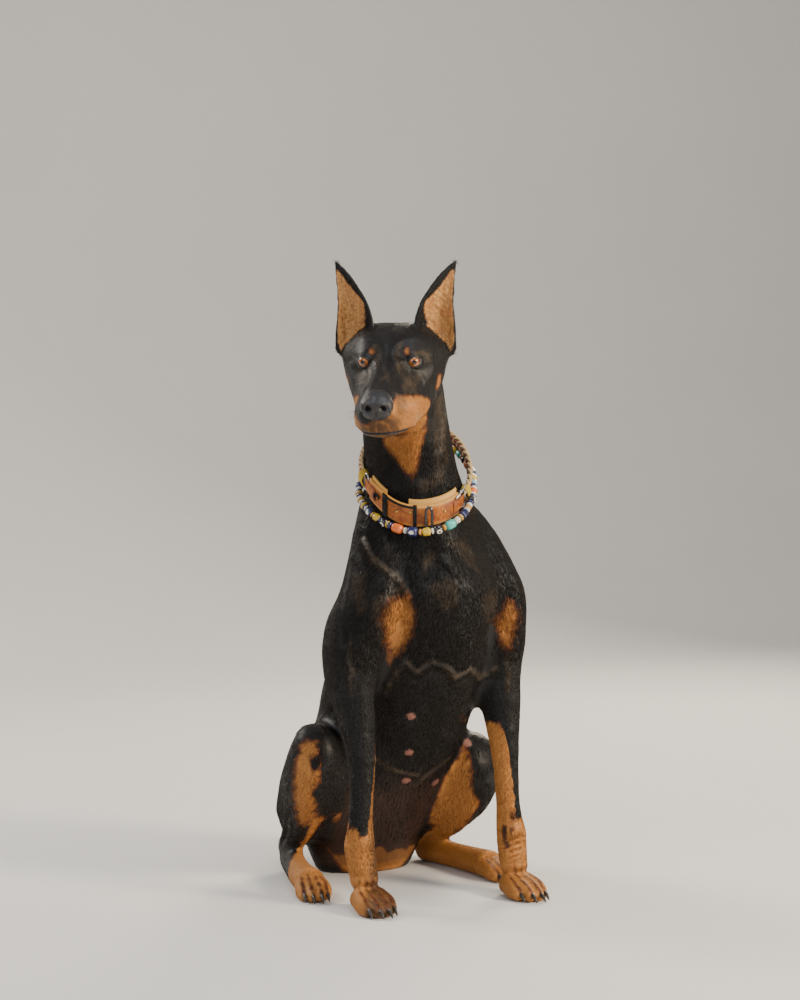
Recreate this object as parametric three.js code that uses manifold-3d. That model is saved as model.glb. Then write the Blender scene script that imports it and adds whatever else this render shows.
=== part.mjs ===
// A seated Doberman pinscher bitch, life size, with a leather and braid collar and a string of
// beads. A still model: nothing on it moves.
//
// Lengths are millimetres. While she is built the dog faces -Y, her left side is +X, up is +Z,
// and the middle between her fore paws is at x = 0, y = 0. The last lines move the finished
// model so that its box stands over the origin.
//
// Every soft form is a tube: a row of rings joined by Catmull-Rom curves, with a rounded end at
// each side. Forms of one named part are fused, and each part is then cut back from its
// neighbour, which is grown by the seam first, so that no two parts overlap.

import * as THREE from "three";
import Module from "manifold-3d";

const wasm = await Module();
wasm.setup();

// Driving sizes and angles

const SEAM = 0.35; // gap between two parts that touch
const HEAD_AT = [-92, -30, 756]; // middle between the eyes
const HEAD_TURN = -33; // degrees, towards her right
const HEAD_NOD = 17; // degrees, nose down
const EYE = { at: [32, 9, 0], radius: 12, gaze: 16 };
const LID = 1.9; // thickness of an eyelid
const EAR_LENGTH = 108;
const LEATHER = [-80, 20]; // degrees round the collar, from her right side to her left
const BEAD_COUNT = 22;

// Rings round the neck: middle, half width, depth in front and behind, and in degrees the tilt
// (higher at the nape) and the roll (higher on her left). The strap dips where it is doubled.
const COLLAR = { at: [-3, 78, 614], wide: 73, front: 91, back: 68, tilt: 33.5, roll: 15, dip: 6 };
const STRING = { at: [-4, 78, 590], wide: 77, front: 113, back: 76, tilt: 27, roll: 23, dip: 0 };

// Small helpers

const { PI, cos, sin, tan, exp, min, max, round } = Math;
const { degToRad } = THREE.MathUtils;
const vec = (x, y, z) => new THREE.Vector3(x, y, z);

// Catmull-Rom value of a row of numbers at the place t, counted in knots.
function splineAt(values, t) {
  const last = values.length - 1;
  const i = min(last - 1, max(0, Math.floor(t)));
  const s = t - i;
  const [p1, p2] = [values[i], values[i + 1]];
  const p0 = i > 0 ? values[i - 1] : 2 * p1 - p2;
  const p3 = i + 2 <= last ? values[i + 2] : 2 * p2 - p1;
  const bend = 2 * p0 - 5 * p1 + 4 * p2 - p3;
  const twist = 3 * (p1 - p2) + p3 - p0;
  return 0.5 * (2 * p1 + (p2 - p0) * s + bend * s * s + twist * s * s * s);
}

// A smooth curve through [place, value] pairs, level beyond its ends.
function profile(pairs) {
  const slope = (i) => {
    const [a, b] = [pairs[max(0, i - 1)], pairs[min(pairs.length - 1, i + 1)]];
    return (b[1] - a[1]) / (b[0] - a[0]);
  };
  return (x) => {
    if (x <= pairs[0][0]) return pairs[0][1];
    if (x >= pairs.at(-1)[0]) return pairs.at(-1)[1];
    const i = pairs.findIndex((pair) => x < pair[0]) - 1;
    const [[x0, y0], [x1, y1]] = [pairs[i], pairs[i + 1]];
    const h = x1 - x0;
    const t = (x - x0) / h;
    const [t2, t3] = [t * t, t * t * t];
    return (
      y0 * (2 * t3 - 3 * t2 + 1) +
      slope(i) * h * (t3 - 2 * t2 + t) +
      y1 * (3 * t2 - 2 * t3) +
      slope(i + 1) * h * (t3 - t2)
    );
  };
}

// Solids

function solidFrom(points, faces) {
  const vertProperties = new Float32Array(points.flatMap((p) => [p.x, p.y, p.z]));
  const triVerts = new Uint32Array(faces);
  const build = () => new wasm.Manifold(new wasm.Mesh({ numProp: 3, vertProperties, triVerts }));
  const made = build();
  if (made.volume() > 0) return made;
  for (let i = 0; i < triVerts.length; i += 3) {
    [triVerts[i + 1], triVerts[i + 2]] = [triVerts[i + 2], triVerts[i + 1]];
  }
  return build();
}

// Rows of points, each closed round, with a pole at either end of the stack.
function gridSolid(rows, firstPole, lastPole) {
  const around = rows[0].length;
  const points = [firstPole, ...rows.flat(), lastPole];
  const at = (row, k) => 1 + row * around + (k % around);
  const end = points.length - 1;
  const faces = [];
  for (let k = 0; k < around; k++) {
    faces.push(0, at(0, k + 1), at(0, k));
    faces.push(end, at(rows.length - 1, k), at(rows.length - 1, k + 1));
    for (let r = 0; r + 1 < rows.length; r++) {
      faces.push(at(r, k), at(r, k + 1), at(r + 1, k + 1));
      faces.push(at(r, k), at(r + 1, k + 1), at(r + 1, k));
    }
  }
  return solidFrom(points, faces);
}

// Rows of points closed round, joined end to end into a ring.
function ringSolid(rows) {
  const around = rows[0].length;
  const at = (row, k) => (row % rows.length) * around + (k % around);
  const faces = [];
  for (let r = 0; r < rows.length; r++) {
    for (let k = 0; k < around; k++) {
      faces.push(at(r, k), at(r, k + 1), at(r + 1, k + 1));
      faces.push(at(r, k), at(r + 1, k + 1), at(r + 1, k));
    }
  }
  return solidFrom(rows.flat(), faces);
}

// A three.js geometry as a solid.
function solidOf(geometry) {
  const position = geometry.getAttribute("position");
  const seen = new Map();
  const points = [];
  const place = (i) => {
    const p = vec(position.getX(i), position.getY(i), position.getZ(i));
    const key = [p.x, p.y, p.z].map((c) => round(c * 500)).join();
    if (!seen.has(key)) seen.set(key, points.push(p) - 1);
    return seen.get(key);
  };
  const index = geometry.index ? [...geometry.index.array] : [...Array(position.count).keys()];
  const corners = index.map(place);
  const faces = [];
  for (let i = 0; i < corners.length; i += 3) {
    const [a, b, c] = corners.slice(i, i + 3);
    if (a !== b && b !== c && a !== c) faces.push(a, b, c);
  }
  return solidFrom(points, faces);
}

function geometryOf(solid) {
  const { vertProperties, triVerts } = solid.getMesh();
  const geometry = new THREE.BufferGeometry();
  geometry.setAttribute("position", new THREE.BufferAttribute(vertProperties, 3));
  return geometry.setIndex(new THREE.BufferAttribute(triVerts, 1));
}

const fuse = (solids) => solids.reduce((a, b) => a.add(b));
const cut = (solid, ...tools) => tools.reduce((a, b) => a.subtract(b), solid);

// The largest closed body of a solid, without any scrap that a cut has left. Points closer
// than two thousandths are merged first, as a cut leaves slivers between them.
function largest(solid) {
  const biggest = (bodies) => bodies.reduce((a, b) => (b.volume() > a.volume() ? b : a));
  const merged = solidOf(geometryOf(biggest(solid.decompose())));
  return biggest(merged.decompose());
}

function ball(at, radius, detail = 16) {
  const geometry = new THREE.SphereGeometry(radius, detail, round(detail * 0.6));
  return solidOf(geometry.translate(...at));
}

function box(low, high) {
  const size = high.map((c, i) => c - low[i]);
  const geometry = new THREE.BoxGeometry(...size);
  return solidOf(geometry.translate(...low.map((c, i) => c + size[i] / 2)));
}

const BELOW_FLOOR = box([-600, -600, -300], [600, 800, 0]);

// Tubes

// A ring is { at, side, front, back, egg }: side and front are vectors from its centre, back is
// the depth behind as a share of the depth in front, and egg narrows the front.
function ringPoint(ring, angle) {
  const [c, s] = [cos(angle), sin(angle)];
  const out = ring.side.clone().multiplyScalar(c * (1 - ring.egg * s));
  return out.addScaledVector(ring.front, s > 0 ? s : s * ring.back);
}

function ringBetween(rings, t) {
  const value = (pick) => splineAt(rings.map(pick), t);
  const point = (key) => vec(...["x", "y", "z"].map((axis) => value((r) => r[key][axis])));
  return {
    at: point("at"),
    side: point("side"),
    front: point("front"),
    back: value((r) => r.back),
    egg: value((r) => r.egg),
  };
}

// Swellings lift a surface round a point, or press it in where the lift is negative.
function swollen(point, outward, swellings) {
  const lift = swellings.reduce((sum, { at, size, lift: height }) => {
    return sum + height * exp(-point.distanceToSquared(vec(...at)) / (2 * size * size));
  }, 0);
  return point.addScaledVector(outward, lift);
}

// A tube through rings, with a rounded end of a given length at either end.
function tube(rings, options = {}) {
  const { around = 16, steps = 3, ends = [10, 10], grow = 0, swell = [], capRows = 2 } = options;
  const spans = rings.length - 1;
  const ringAt = (t) => {
    const ring = ringBetween(rings, t);
    ring.side.multiplyScalar(1 + grow / ring.side.length());
    ring.front.multiplyScalar(1 + grow / ring.front.length());
    return ring;
  };
  const row = (ring, scale, shift) => Array.from({ length: around }, (_, k) => {
    const out = ringPoint(ring, (2 * PI * k) / around);
    const point = ring.at.clone().add(shift).addScaledVector(out, scale);
    return swollen(point, out.normalize(), swell);
  });
  const rows = [];
  const cap = (t, direction, length, order) => {
    const ring = ringAt(t);
    for (const k of order) {
      const angle = (k / (capRows + 1)) * (PI / 2);
      rows.push(row(ring, cos(angle), direction.clone().multiplyScalar(length * sin(angle))));
    }
    return ring.at.clone().addScaledVector(direction, length);
  };
  const heading = (a, b) => ringAt(b).at.sub(ringAt(a).at).normalize();
  const order = Array.from({ length: capRows }, (_, k) => k + 1);
  const firstPole = cap(0, heading(0.1, 0), ends[0] + grow, [...order].reverse());
  for (let i = 0; i <= spans * steps; i++) rows.push(row(ringAt(i / steps), 1, vec(0, 0, 0)));
  const lastPole = cap(spans, heading(spans - 0.1, spans), ends[1] + grow, order);
  return gridSolid(rows, firstPole, lastPole);
}

// Rings for a limb that runs upwards through stations [x, y, z, half width, fore, aft]. They
// stand square to the limb, with their sides towards her left or right.
function limbRings(stations, side = 1) {
  const centres = stations.map(([x, y, z]) => vec(x * side, y, z));
  return stations.map(([, , , wide, fore, aft], i) => {
    const before = centres[max(0, i - 1)];
    const after = centres[min(centres.length - 1, i + 1)];
    const along = after.clone().sub(before).normalize();
    const across = vec(side, 0, 0);
    across.addScaledVector(along, -across.dot(along)).normalize();
    const front = across.clone().cross(along).normalize().multiplyScalar(side);
    return {
      at: centres[i],
      side: across.multiplyScalar(wide),
      front: front.multiplyScalar(fore),
      back: aft / fore,
      egg: 0,
    };
  });
}

// The trunk: [back y, back z, belly y, belly z, half width, egg, x]

const TRUNK = [
  [300, -16, 234, -16, 66, 0, 2], // seat, cut off at the floor
  [350, 66, 198, 42, 92, 0, 5], // buttocks
  [346, 168, 150, 112, 98, -0.04, 10], // croup and groin
  [310, 282, 90, 190, 104, -0.1, 14], // loin and tuck-up
  [256, 392, 30, 270, 102, -0.1, 12], // last ribs
  [205, 486, -26, 356, 96, -0.03, 9], // deep chest
  [152, 562, -52, 430, 80, -0.06, 7], // shoulders and breast bone
  [122, 600, -32, 484, 64, -0.06, 3], // root of the neck
];

function trunk(grow) {
  const rings = TRUNK.map(([backY, backZ, bellyY, bellyZ, wide, egg, x]) => ({
    at: vec(x, (backY + bellyY) / 2, (backZ + bellyZ) / 2),
    side: vec(wide, 0, 0),
    front: vec(0, (bellyY - backY) / 2, (bellyZ - backZ) / 2),
    back: 1,
    egg,
  }));
  return tube(rings, { around: 28, steps: 3, ends: [20, 16], grow });
}

// The neck, bending to her right as she turns her head

const NECK = [
  [0, 62, 484, 78, 92, 84], // inside the chest
  [0, 74, 552, 69, 84, 80], // under the collar
  [-10, 74, 594, 64, 81, 78],
  [-16, 70, 636, 59, 76, 74], // throat
  [-28, 58, 690, 57, 68, 68], // behind the jaw
  [-34, 50, 738, 52, 58, 58], // inside the skull
  [-38, 46, 772, 40, 40, 46],
];

const neck = (grow) => tube(limbRings(NECK), { around: 18, steps: 2, ends: [10, 14], grow });

// Legs: stations [x, y, z, half width, fore, aft], from the ground up. She stands a little
// askew, so that each leg has its own.

const LEFT_LEGS = {
  foreLimb: [
    [121, 6, 40, 20, 18, 18], // pastern
    [122, 18, 84, 21, 21, 22], // wrist
    [120, 22, 126, 17, 18, 20],
    [118, 28, 190, 19, 22, 24], // fore arm
    [119, 40, 252, 25, 30, 34],
    [120, 58, 314, 32, 44, 50], // elbow
    [116, 54, 372, 38, 56, 60], // triceps
    [102, 36, 432, 38, 54, 64], // shoulder joint
    [80, 58, 500, 32, 46, 56], // shoulder blade
    [54, 94, 560, 22, 28, 34], // its upper end, beside the withers
  ],
  thigh: [
    [64, 298, 88, 62, 64, 52], // buttock
    [84, 250, 124, 56, 74, 58], // hip
    [106, 190, 148, 46, 62, 60], // thigh
    [128, 136, 172, 34, 38, 44], // knee
  ],
  shank: [
    [108, 282, 36, 17, 20, 18], // hock
    [112, 252, 54, 20, 26, 22],
    [118, 210, 86, 26, 38, 30],
    [126, 168, 122, 33, 44, 38], // calf
    [132, 140, 156, 33, 40, 36], // below the knee
  ],
  hindFoot: [
    [142, 124, 20, 22, 19, 22], // laid along the floor, from the toes back
    [134, 170, 20, 19, 17, 22],
    [121, 224, 21, 17, 17, 22],
    [108, 276, 25, 17, 22, 26], // point of the hock
  ],
  elbow: [124, 102, 316],
  forePaw: [120, -8, 3],
  hindPaw: [144, 114, 10],
};
const RIGHT_LEGS = {
  foreLimb: [
    [113, 6, 40, 20, 18, 18],
    [114, 18, 84, 21, 21, 22],
    [112, 20, 126, 17, 18, 20],
    [107, 26, 190, 18, 22, 24],
    [108, 40, 252, 24, 30, 34],
    [111, 58, 314, 32, 44, 50],
    [106, 54, 372, 38, 56, 62],
    [90, 36, 432, 37, 56, 64],
    [71, 58, 500, 33, 46, 56],
    [52, 92, 560, 24, 28, 34],
  ],
  thigh: [
    [62, 298, 90, 60, 64, 52],
    [80, 250, 132, 54, 74, 58],
    [98, 192, 172, 45, 62, 60],
    [130, 138, 204, 33, 37, 42],
  ],
  shank: [
    [110, 286, 36, 17, 20, 18],
    [114, 256, 60, 19, 23, 22],
    [122, 212, 102, 25, 33, 30],
    [132, 168, 148, 32, 39, 38],
    [136, 140, 190, 32, 36, 36],
  ],
  hindFoot: [
    [146, 122, 20, 22, 19, 22],
    [138, 170, 20, 19, 17, 22],
    [124, 228, 21, 17, 17, 22],
    [110, 280, 25, 17, 22, 26],
  ],
  elbow: [116, 102, 318],
  forePaw: [112, -8, 0],
  hindPaw: [148, 112, 12],
};

const foreLimb = ({ foreLimb: stations, elbow }, side, grow) => {
  const swell = [{ at: [elbow[0] * side, elbow[1], elbow[2]], size: 14, lift: 7 }];
  return tube(limbRings(stations, side), { around: 14, steps: 2, ends: [12, 14], grow, swell });
};

const hindLimb = ({ thigh, shank }, side, grow) => fuse([
  tube(limbRings(thigh, side), { around: 18, steps: 2, ends: [30, 26], grow }),
  tube(limbRings(shank, side), { around: 14, steps: 2, ends: [10, 24], grow }),
]);

// Paws: four toes over a pad, each toe an arched tube, with a claw at its tip

const FORE_PAW = { across: [-18, -6.5, 6.5, 18], reach: [-34, -46, -47, -36], girth: 10, detail: 2 };
const HIND_PAW = { across: [-16, -5.8, 5.8, 16], reach: [-30, -42, -42, -31], girth: 9, detail: 1 };

function paw([cx, cy, turn], { across, reach, girth: g, detail }, side) {
  const place = (x, y, z) => {
    const [c, s] = [cos(degToRad(turn)), sin(degToRad(turn))];
    return [cx + x * c - y * s, cy + x * s + y * c, z];
  };
  const shape = (stations, around, steps, ends) =>
    tube(limbRings(stations, side), { around, steps, ends, capRows: 1 });
  const toes = across.flatMap((x, i) => [
    shape([
      [...place(x * 1.04, reach[i], g * 0.8), g * 0.78, g * 0.9, g * 0.8],
      [...place(x * 1.06, reach[i] * 0.6, g * 1.5), g, g * 1.1, g * 1.6],
      [...place(x * 0.85, 2, g * 2.2), g * 0.95, g * 1.1, g * 2],
    ], 7, detail, [g * 0.6, g]),
    shape([
      [...place(x * 1.06, reach[i] - 17, g * 0.42), 1.2, 1.2, 1.4],
      [...place(x * 1.05, reach[i] - 9, g * 0.95), 2.6, 3.2, 3.2],
      [...place(x * 1.04, reach[i], g * 1.2), 3, 3.6, 3.6],
    ], 6, 1, [1.5, 2]),
  ]);
  const pad = shape([
    [...place(0, -14, 12), 22, 14, 14],
    [...place(0, 14, 15), 23, 20, 16],
  ], 12, 1, [10, 12]);
  return fuse([...toes, pad]);
}

// The head, in its own frame: y runs back from the eyes, z up from them

const CROWN = profile([
  [-118, -8], [-108, -4], [-70, 0], [-30, 5], [-8, 12], [15, 25], [45, 33], [75, 34],
  [100, 27], [122, 10],
]);
const JAW = profile([
  [-118, -62], [-106, -72], [-80, -76], [-40, -79], [0, -84], [40, -89], [80, -84], [122, -60],
]);
const CHEEK = profile([
  [-118, 25], [-104, 31], [-70, 36], [-35, 41], [-10, 46], [10, 53], [35, 62], [55, 66],
  [80, 63], [105, 52], [122, 40],
]);
const CHEEK_LEVEL = profile([[-120, -38], [-40, -44], [0, -34], [40, -22], [100, -14]]);
const BRIDGE = profile([
  [-118, 14], [-104, 17], [-70, 17], [-30, 19], [-8, 26], [15, 37], [45, 44], [80, 42],
  [122, 26],
]);
const CHIN = profile([
  [-118, 15], [-104, 22], [-70, 31], [-35, 38], [0, 42], [40, 44], [80, 40], [122, 28],
]);

const HEAD_SWELLINGS = [
  { at: [26, -2, 16], size: 8, lift: 5 }, // brow
  { at: [38, 4, 12], size: 7, lift: 3 }, // outer brow
  { at: [62, 66, -2], size: 13, lift: 8 }, // root of the ear
  { at: [47, 14, -10], size: 13, lift: 3 }, // cheek bone
  { at: [38, -12, -14], size: 10, lift: -4 }, // hollow below the eye
  { at: [26, -50, -14], size: 14, lift: -3 }, // side of the bridge
  { at: [60, 52, -34], size: 22, lift: 4 }, // chewing muscle
  { at: [0, -6, 16], size: 8, lift: -3 }, // stop
  { at: [0, 48, 36], size: 18, lift: -2 }, // furrow of the skull
  { at: [34, -60, -62], size: 16, lift: 3 }, // upper lip
];

const headTurn = new THREE.Matrix4()
  .makeRotationFromEuler(new THREE.Euler(degToRad(HEAD_NOD), 0, degToRad(HEAD_TURN), "ZYX"))
  .setPosition(...HEAD_AT);
const onHead = (x, y, z) => vec(x, y, z).applyMatrix4(headTurn);
const mirrored = ({ at: [x, y, z], ...rest }) => [
  { at: [x, y, z], ...rest },
  ...(x ? [{ at: [-x, y, z], ...rest }] : []),
];
const headSwell = HEAD_SWELLINGS.flatMap(mirrored);

// One ring of the head: a closed Catmull-Rom curve through eight knots.
function headRow(y, around, grow) {
  const [top, bottom, wide] = [CROWN(y) + grow, JAW(y) - grow, CHEEK(y) + grow];
  const level = CHEEK_LEVEL(y);
  const [bridge, chin] = [BRIDGE(y) + grow * 0.6, CHIN(y) + grow * 0.6];
  const half = [
    [0, top], [bridge, top - 6], [wide, level], [chin, bottom + 7], [0, bottom],
  ];
  const knots = [...half, ...half.slice(1, 4).reverse().map(([x, z]) => [-x, z])];
  const knot = (i, axis) => knots[(i + knots.length) % knots.length][axis];
  return Array.from({ length: around }, (_, k) => {
    const t = (k / around) * knots.length;
    const i = Math.floor(t);
    const at = (axis) => splineAt([-1, 0, 1, 2].map((d) => knot(i + d, axis)), 1 + t - i);
    const [x, z] = [at(0), at(1)];
    const out = vec(x, 0, z - level).normalize();
    return swollen(vec(x, y, z), out, headSwell);
  });
}

function skull(grow, around = 26) {
  const rows = [];
  const [front, back] = [-116, 112];
  const capped = (y, end, length) => {
    const tip = [0, 0.4, 0.7, 0.9].map((share) => share * length);
    return tip.map((d) => {
      const scale = Math.sqrt(max(0, 1 - (d / length) ** 2));
      const middle = (CROWN(end) + JAW(end)) / 2;
      return headRow(end, around, grow).map((p) =>
        vec(p.x * scale, end + Math.sign(end) * (d + grow), middle + (p.z - middle) * scale));
    });
  };
  rows.push(...capped(front, front, 8).reverse());
  const spans = 19;
  for (let i = 1; i < spans; i++) {
    rows.push(headRow(front + ((back - front) * i) / spans, around, grow));
  }
  rows.push(...capped(back, back, 14));
  const pole = (y, end) => onHead(0, y, (CROWN(end) + JAW(end)) / 2);
  const placed = rows.map((row) => row.map((p) => onHead(p.x, p.y, p.z)));
  return gridSolid(placed, pole(front - 8 - grow, front), pole(back + 14 + grow, back));
}

// Nose pad, with a nostril bored into each side

const NOSE = [
  // x, y, z, half width, up, down
  [0, -104, -12, 13, 9, 10],
  [0, -114, -18, 19, 15, 18],
  [0, -124, -21, 22.5, 16, 19],
  [0, -132, -22, 19, 13, 16],
];

function headTube(stations, options) {
  const turned = (x, y, z) => vec(x, y, z).applyMatrix4(headTurn).sub(vec(...HEAD_AT));
  const rings = stations.map(([x, y, z, wide, up, down]) => ({
    at: onHead(x, y, z),
    side: turned(wide, 0, 0),
    front: turned(0, 0, up),
    back: down / up,
    egg: 0,
  }));
  return tube(rings, options);
}

const nosePad = (grow) => headTube(NOSE, { around: 18, steps: 1, ends: [4, 4], grow });
const nostril = (side) => headTube([
  [side * 13.5, -124, -20, 5, 4, 4],
  [side * 11.5, -142, -20, 3.6, 5, 3.4],
], { around: 8, steps: 1, ends: [2, 2], capRows: 1 });

// Mouth: a groove that follows the lip line round the muzzle

const LIP = profile([[-134, -60], [-112, -61], [-80, -62], [-50, -67], [-34, -73]]);

function mouth() {
  const rows = [];
  for (let y = -140; y <= -34; y += 8) {
    const gap = y < -60 ? 0.9 : 0.6;
    const z = LIP(y);
    rows.push([
      onHead(-60, y, z - 3 - gap), onHead(0, y, z - gap), onHead(60, y, z - 3 - gap),
      onHead(60, y, z - 3 + gap), onHead(0, y, z + gap), onHead(-60, y, z - 3 + gap),
    ]);
  }
  const middle = (row) => row.reduce((a, b) => a.clone().add(b)).multiplyScalar(1 / row.length);
  return gridSolid(rows, middle(rows[0]), middle(rows.at(-1)));
}

// Eyes: a ball behind lids, seen through an almond-shaped opening

const eyeAt = (side) => onHead(side * EYE.at[0], EYE.at[1], EYE.at[2]);

function eyeOpening(side) {
  const [c, s] = [cos(degToRad(EYE.gaze)), sin(degToRad(EYE.gaze))];
  const outline = [
    [-12, -2], [-8, 4], [-1, 7], [6, 6], [11.5, 2], [7, -4.2], [0, -6.4], [-7, -5.4],
  ];
  const row = (depth) => outline.map(([a, b]) => {
    const x = EYE.at[0] + a * c + depth * s;
    return onHead(side * x, EYE.at[1] + a * s - depth * c, EYE.at[2] + b);
  });
  const middle = (depth) => onHead(side * (EYE.at[0] + depth * s), EYE.at[1] - depth * c, 0);
  return gridSolid([row(4), row(30)], middle(4), middle(30));
}

// Ears: a cupped blade whose ring runs along its back and returns along its hollow

const EAR = {
  base: [51, 66, 18],
  splay: 13,
  lean: 17,
  width: profile([[0, 34], [0.1, 48], [0.24, 58], [0.42, 52], [0.6, 39], [0.8, 23], [0.95, 8],
    [1, 3]]),
  cup: profile([[0, 78], [0.3, 66], [0.6, 48], [1, 20]]),
  sweep: profile([[0, -4], [0.2, 1], [0.5, -1], [0.8, 3], [1, 9]]),
  thick: profile([[0, 5], [0.3, 4], [1, 2.4]]),
};

function ear(side, grow = 0) {
  const [splay, lean] = [degToRad(EAR.splay), degToRad(EAR.lean)];
  const along = vec(sin(splay), cos(splay) * sin(lean), cos(splay) * cos(lean));
  const open = vec(0.3, -1, 0).addScaledVector(along, -vec(0.3, -1, 0).dot(along)).normalize();
  const across = along.clone().cross(open).normalize();
  if (across.x < 0) across.negate();
  const half = 6;
  const row = (t) => {
    const angle = degToRad(EAR.cup(t));
    const radius = EAR.width(t) / (2 * sin(angle));
    const thick = EAR.thick(t) / 2 + grow;
    const arc = (r, a) => {
      const p = vec(...EAR.base).addScaledVector(along, t * EAR_LENGTH - 20 * (1 - t) ** 2);
      p.addScaledVector(across, r * sin(a) + EAR.sweep(t));
      p.addScaledVector(open, radius * cos(angle) - r * cos(a) + 6 * (1 - t));
      return onHead(side * p.x, p.y, p.z);
    };
    const sweep = Array.from({ length: half + 1 }, (_, k) => angle * ((2 * k) / half - 1));
    return [
      ...sweep.map((a) => arc(radius + thick, a)),
      ...sweep.reverse().map((a) => arc(max(0.4, radius - thick), a * 0.97)),
    ];
  };
  const rows = [0, 0.12, 0.24, 0.38, 0.54, 0.7, 0.84, 0.94, 1].map(row);
  const middle = (list) => list.reduce((a, b) => a.clone().add(b)).multiplyScalar(1 / list.length);
  return gridSolid(rows, middle(rows[0]), middle(rows.at(-1)));
}

// Collar: a ring round the neck, given by the angle from the front, positive to her left

const ringOf = ({ at, wide, front, back, tilt, roll, dip }) => (angle, out = 0, up = 0) => {
  const deep = cos(angle) > 0 ? front : back;
  const x = (wide + out) * sin(angle);
  const y = -(deep + out) * cos(angle);
  const slope = y * tan(degToRad(tilt)) + x * tan(degToRad(roll));
  const sag = dip * exp(-(((angle - degToRad(-45)) / degToRad(30)) ** 2));
  return vec(at[0] + x, at[1] + y, at[2] + up + slope - sag);
};
const collarRing = ringOf(COLLAR);
const beadRing = ringOf(STRING);
const middleOf = (row) => row.reduce((a, b) => a.clone().add(b)).multiplyScalar(1 / row.length);

// A band from one angle to another, between two heights and two distances out.
function strap(from, to, low, high, inner, outer, pieces) {
  const rows = Array.from({ length: pieces + 1 }, (_, i) => {
    const angle = degToRad(from + ((to - from) * i) / pieces);
    return [
      collarRing(angle, inner, low), collarRing(angle, outer, low),
      collarRing(angle, outer, high), collarRing(angle, inner, high),
    ];
  });
  return gridSolid(rows, middleOf(rows[0]), middleOf(rows.at(-1)));
}

// A cord along the ring. Its radius may change along the way, as it does over beads.
function cord(ring, from, to, radius, pieces, around = 8) {
  const closed = to - from >= 360;
  const rows = Array.from({ length: closed ? pieces : pieces + 1 }, (_, i) => {
    const angle = degToRad(from + ((to - from) * i) / pieces);
    return Array.from({ length: around }, (_, k) => {
      const turn = (2 * PI * k) / around;
      return ring(angle, radius(i) * cos(turn), radius(i) * sin(turn));
    });
  });
  return closed ? ringSolid(rows) : gridSolid(rows, middleOf(rows[0]), middleOf(rows.at(-1)));
}

// A wire loop at an angle of the ring: wide across or out, high up.
function loop(angle, { out, up, across = 0, reach, wire }) {
  const a = degToRad(angle);
  const outward = collarRing(a, 10).sub(collarRing(a)).normalize();
  const along = vec(-outward.y, outward.x, 0);
  const centre = collarRing(a, reach);
  const rows = Array.from({ length: 14 }, (_, i) => {
    const t = (2 * PI * i) / 14;
    const spoke = outward.clone().multiplyScalar(out * cos(t));
    spoke.addScaledVector(along, across * cos(t)).add(vec(0, 0, up * sin(t)));
    const flat = outward.clone().multiplyScalar(out ? 0 : 1);
    flat.addScaledVector(along, out ? 1 : 0);
    return Array.from({ length: 5 }, (_, k) => {
      const turn = (2 * PI * k) / 5;
      const p = centre.clone().add(spoke);
      p.addScaledVector(spoke.clone().normalize(), wire * cos(turn));
      return p.addScaledVector(flat, wire * sin(turn));
    });
  });
  return ringSolid(rows);
}

// Assembly. Parts listed later are cut back from parts listed earlier.

const sides = [["left", 1, LEFT_LEGS], ["right", -1, RIGHT_LEGS]];
const solids = new Map();
const part = (name, solid, ...tools) => solids.set(name, largest(cut(solid, ...tools)));

const lidded = fuse([
  skull(0),
  ...sides.map(([, side]) => ball(eyeAt(side), EYE.radius + 0.3 + LID, 16)),
]);
const eyeTools = sides.flatMap(([, side]) => [
  eyeOpening(side),
  ball(eyeAt(side), EYE.radius + 0.3, 14),
]);
const groove = cut(mouth(), skull(-3.5, 22));
part("head", lidded, ...eyeTools, groove, nosePad(SEAM));
part("nose", nosePad(0), nostril(1), nostril(-1));
for (const [name, side] of sides) {
  part(`eye_${name}`, ball(eyeAt(side), EYE.radius, 14));
  part(`ear_${name}`, ear(side), skull(SEAM));
}
part("torso", trunk(0), BELOW_FLOOR);
part("neck", neck(0), trunk(SEAM), skull(SEAM));
for (const [name, side, legs] of sides) {
  const [limb, hind] = [foreLimb(legs, side, SEAM), hindLimb(legs, side, SEAM)];
  part(`foreleg_${name}`, foreLimb(legs, side, 0), trunk(SEAM), neck(SEAM));
  part(`forepaw_${name}`, paw(legs.forePaw, FORE_PAW, side), limb, BELOW_FLOOR);
  part(`hindleg_${name}`, hindLimb(legs, side, 0), trunk(SEAM), limb, BELOW_FLOOR);
  const foot = fuse([
    tube(limbRings(legs.hindFoot, side), { around: 10, steps: 2, ends: [8, 12], capRows: 1 }),
    paw(legs.hindPaw, HIND_PAW, side),
  ]);
  part(`hindfoot_${name}`, foot, hind, trunk(SEAM), BELOW_FLOOR);
}
const tail = tube(limbRings([[0, 400, 60, 11, 12, 12], [0, 340, 94, 18, 18, 18]]), {
  around: 12, steps: 2, ends: [8, 10],
});
part("tail", tail, trunk(SEAM));

const body = [
  trunk(SEAM), neck(SEAM), foreLimb(LEFT_LEGS, 1, SEAM), foreLimb(RIGHT_LEGS, -1, SEAM),
];
part("collar_leather", strap(LEATHER[0], LEATHER[1], -14, 14, 0, 5, 16), ...body);
part("collar_keeper_side", strap(-62, -57, -15.5, 15.5, 5.4, 7, 1), ...body);
part("collar_keeper_front", strap(-31, -27.5, -16.5, 16.5, 5.4, 7.4, 1), ...body);
const dring = (wire) => loop(-16, { out: 3.4, up: 16, reach: 10.8, wire });
part("collar_dring", dring(1.8), ...body);
const joint = (angle) => loop(angle, { out: 0, up: 11, across: 6, reach: 3, wire: 1.7 });
part("collar_ring_right", joint(LEATHER[0] - 7), ...body);
part("collar_ring_left", joint(LEATHER[1] + 7), ...body);
const braid = (radius) => {
  const round = (angle, out, up) => collarRing(angle, out + 2.5, up);
  return cord(round, LEATHER[1] + 13, LEATHER[0] + 347, () => radius, 22);
};
part("collar_braid", braid(8), ...body);
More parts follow.
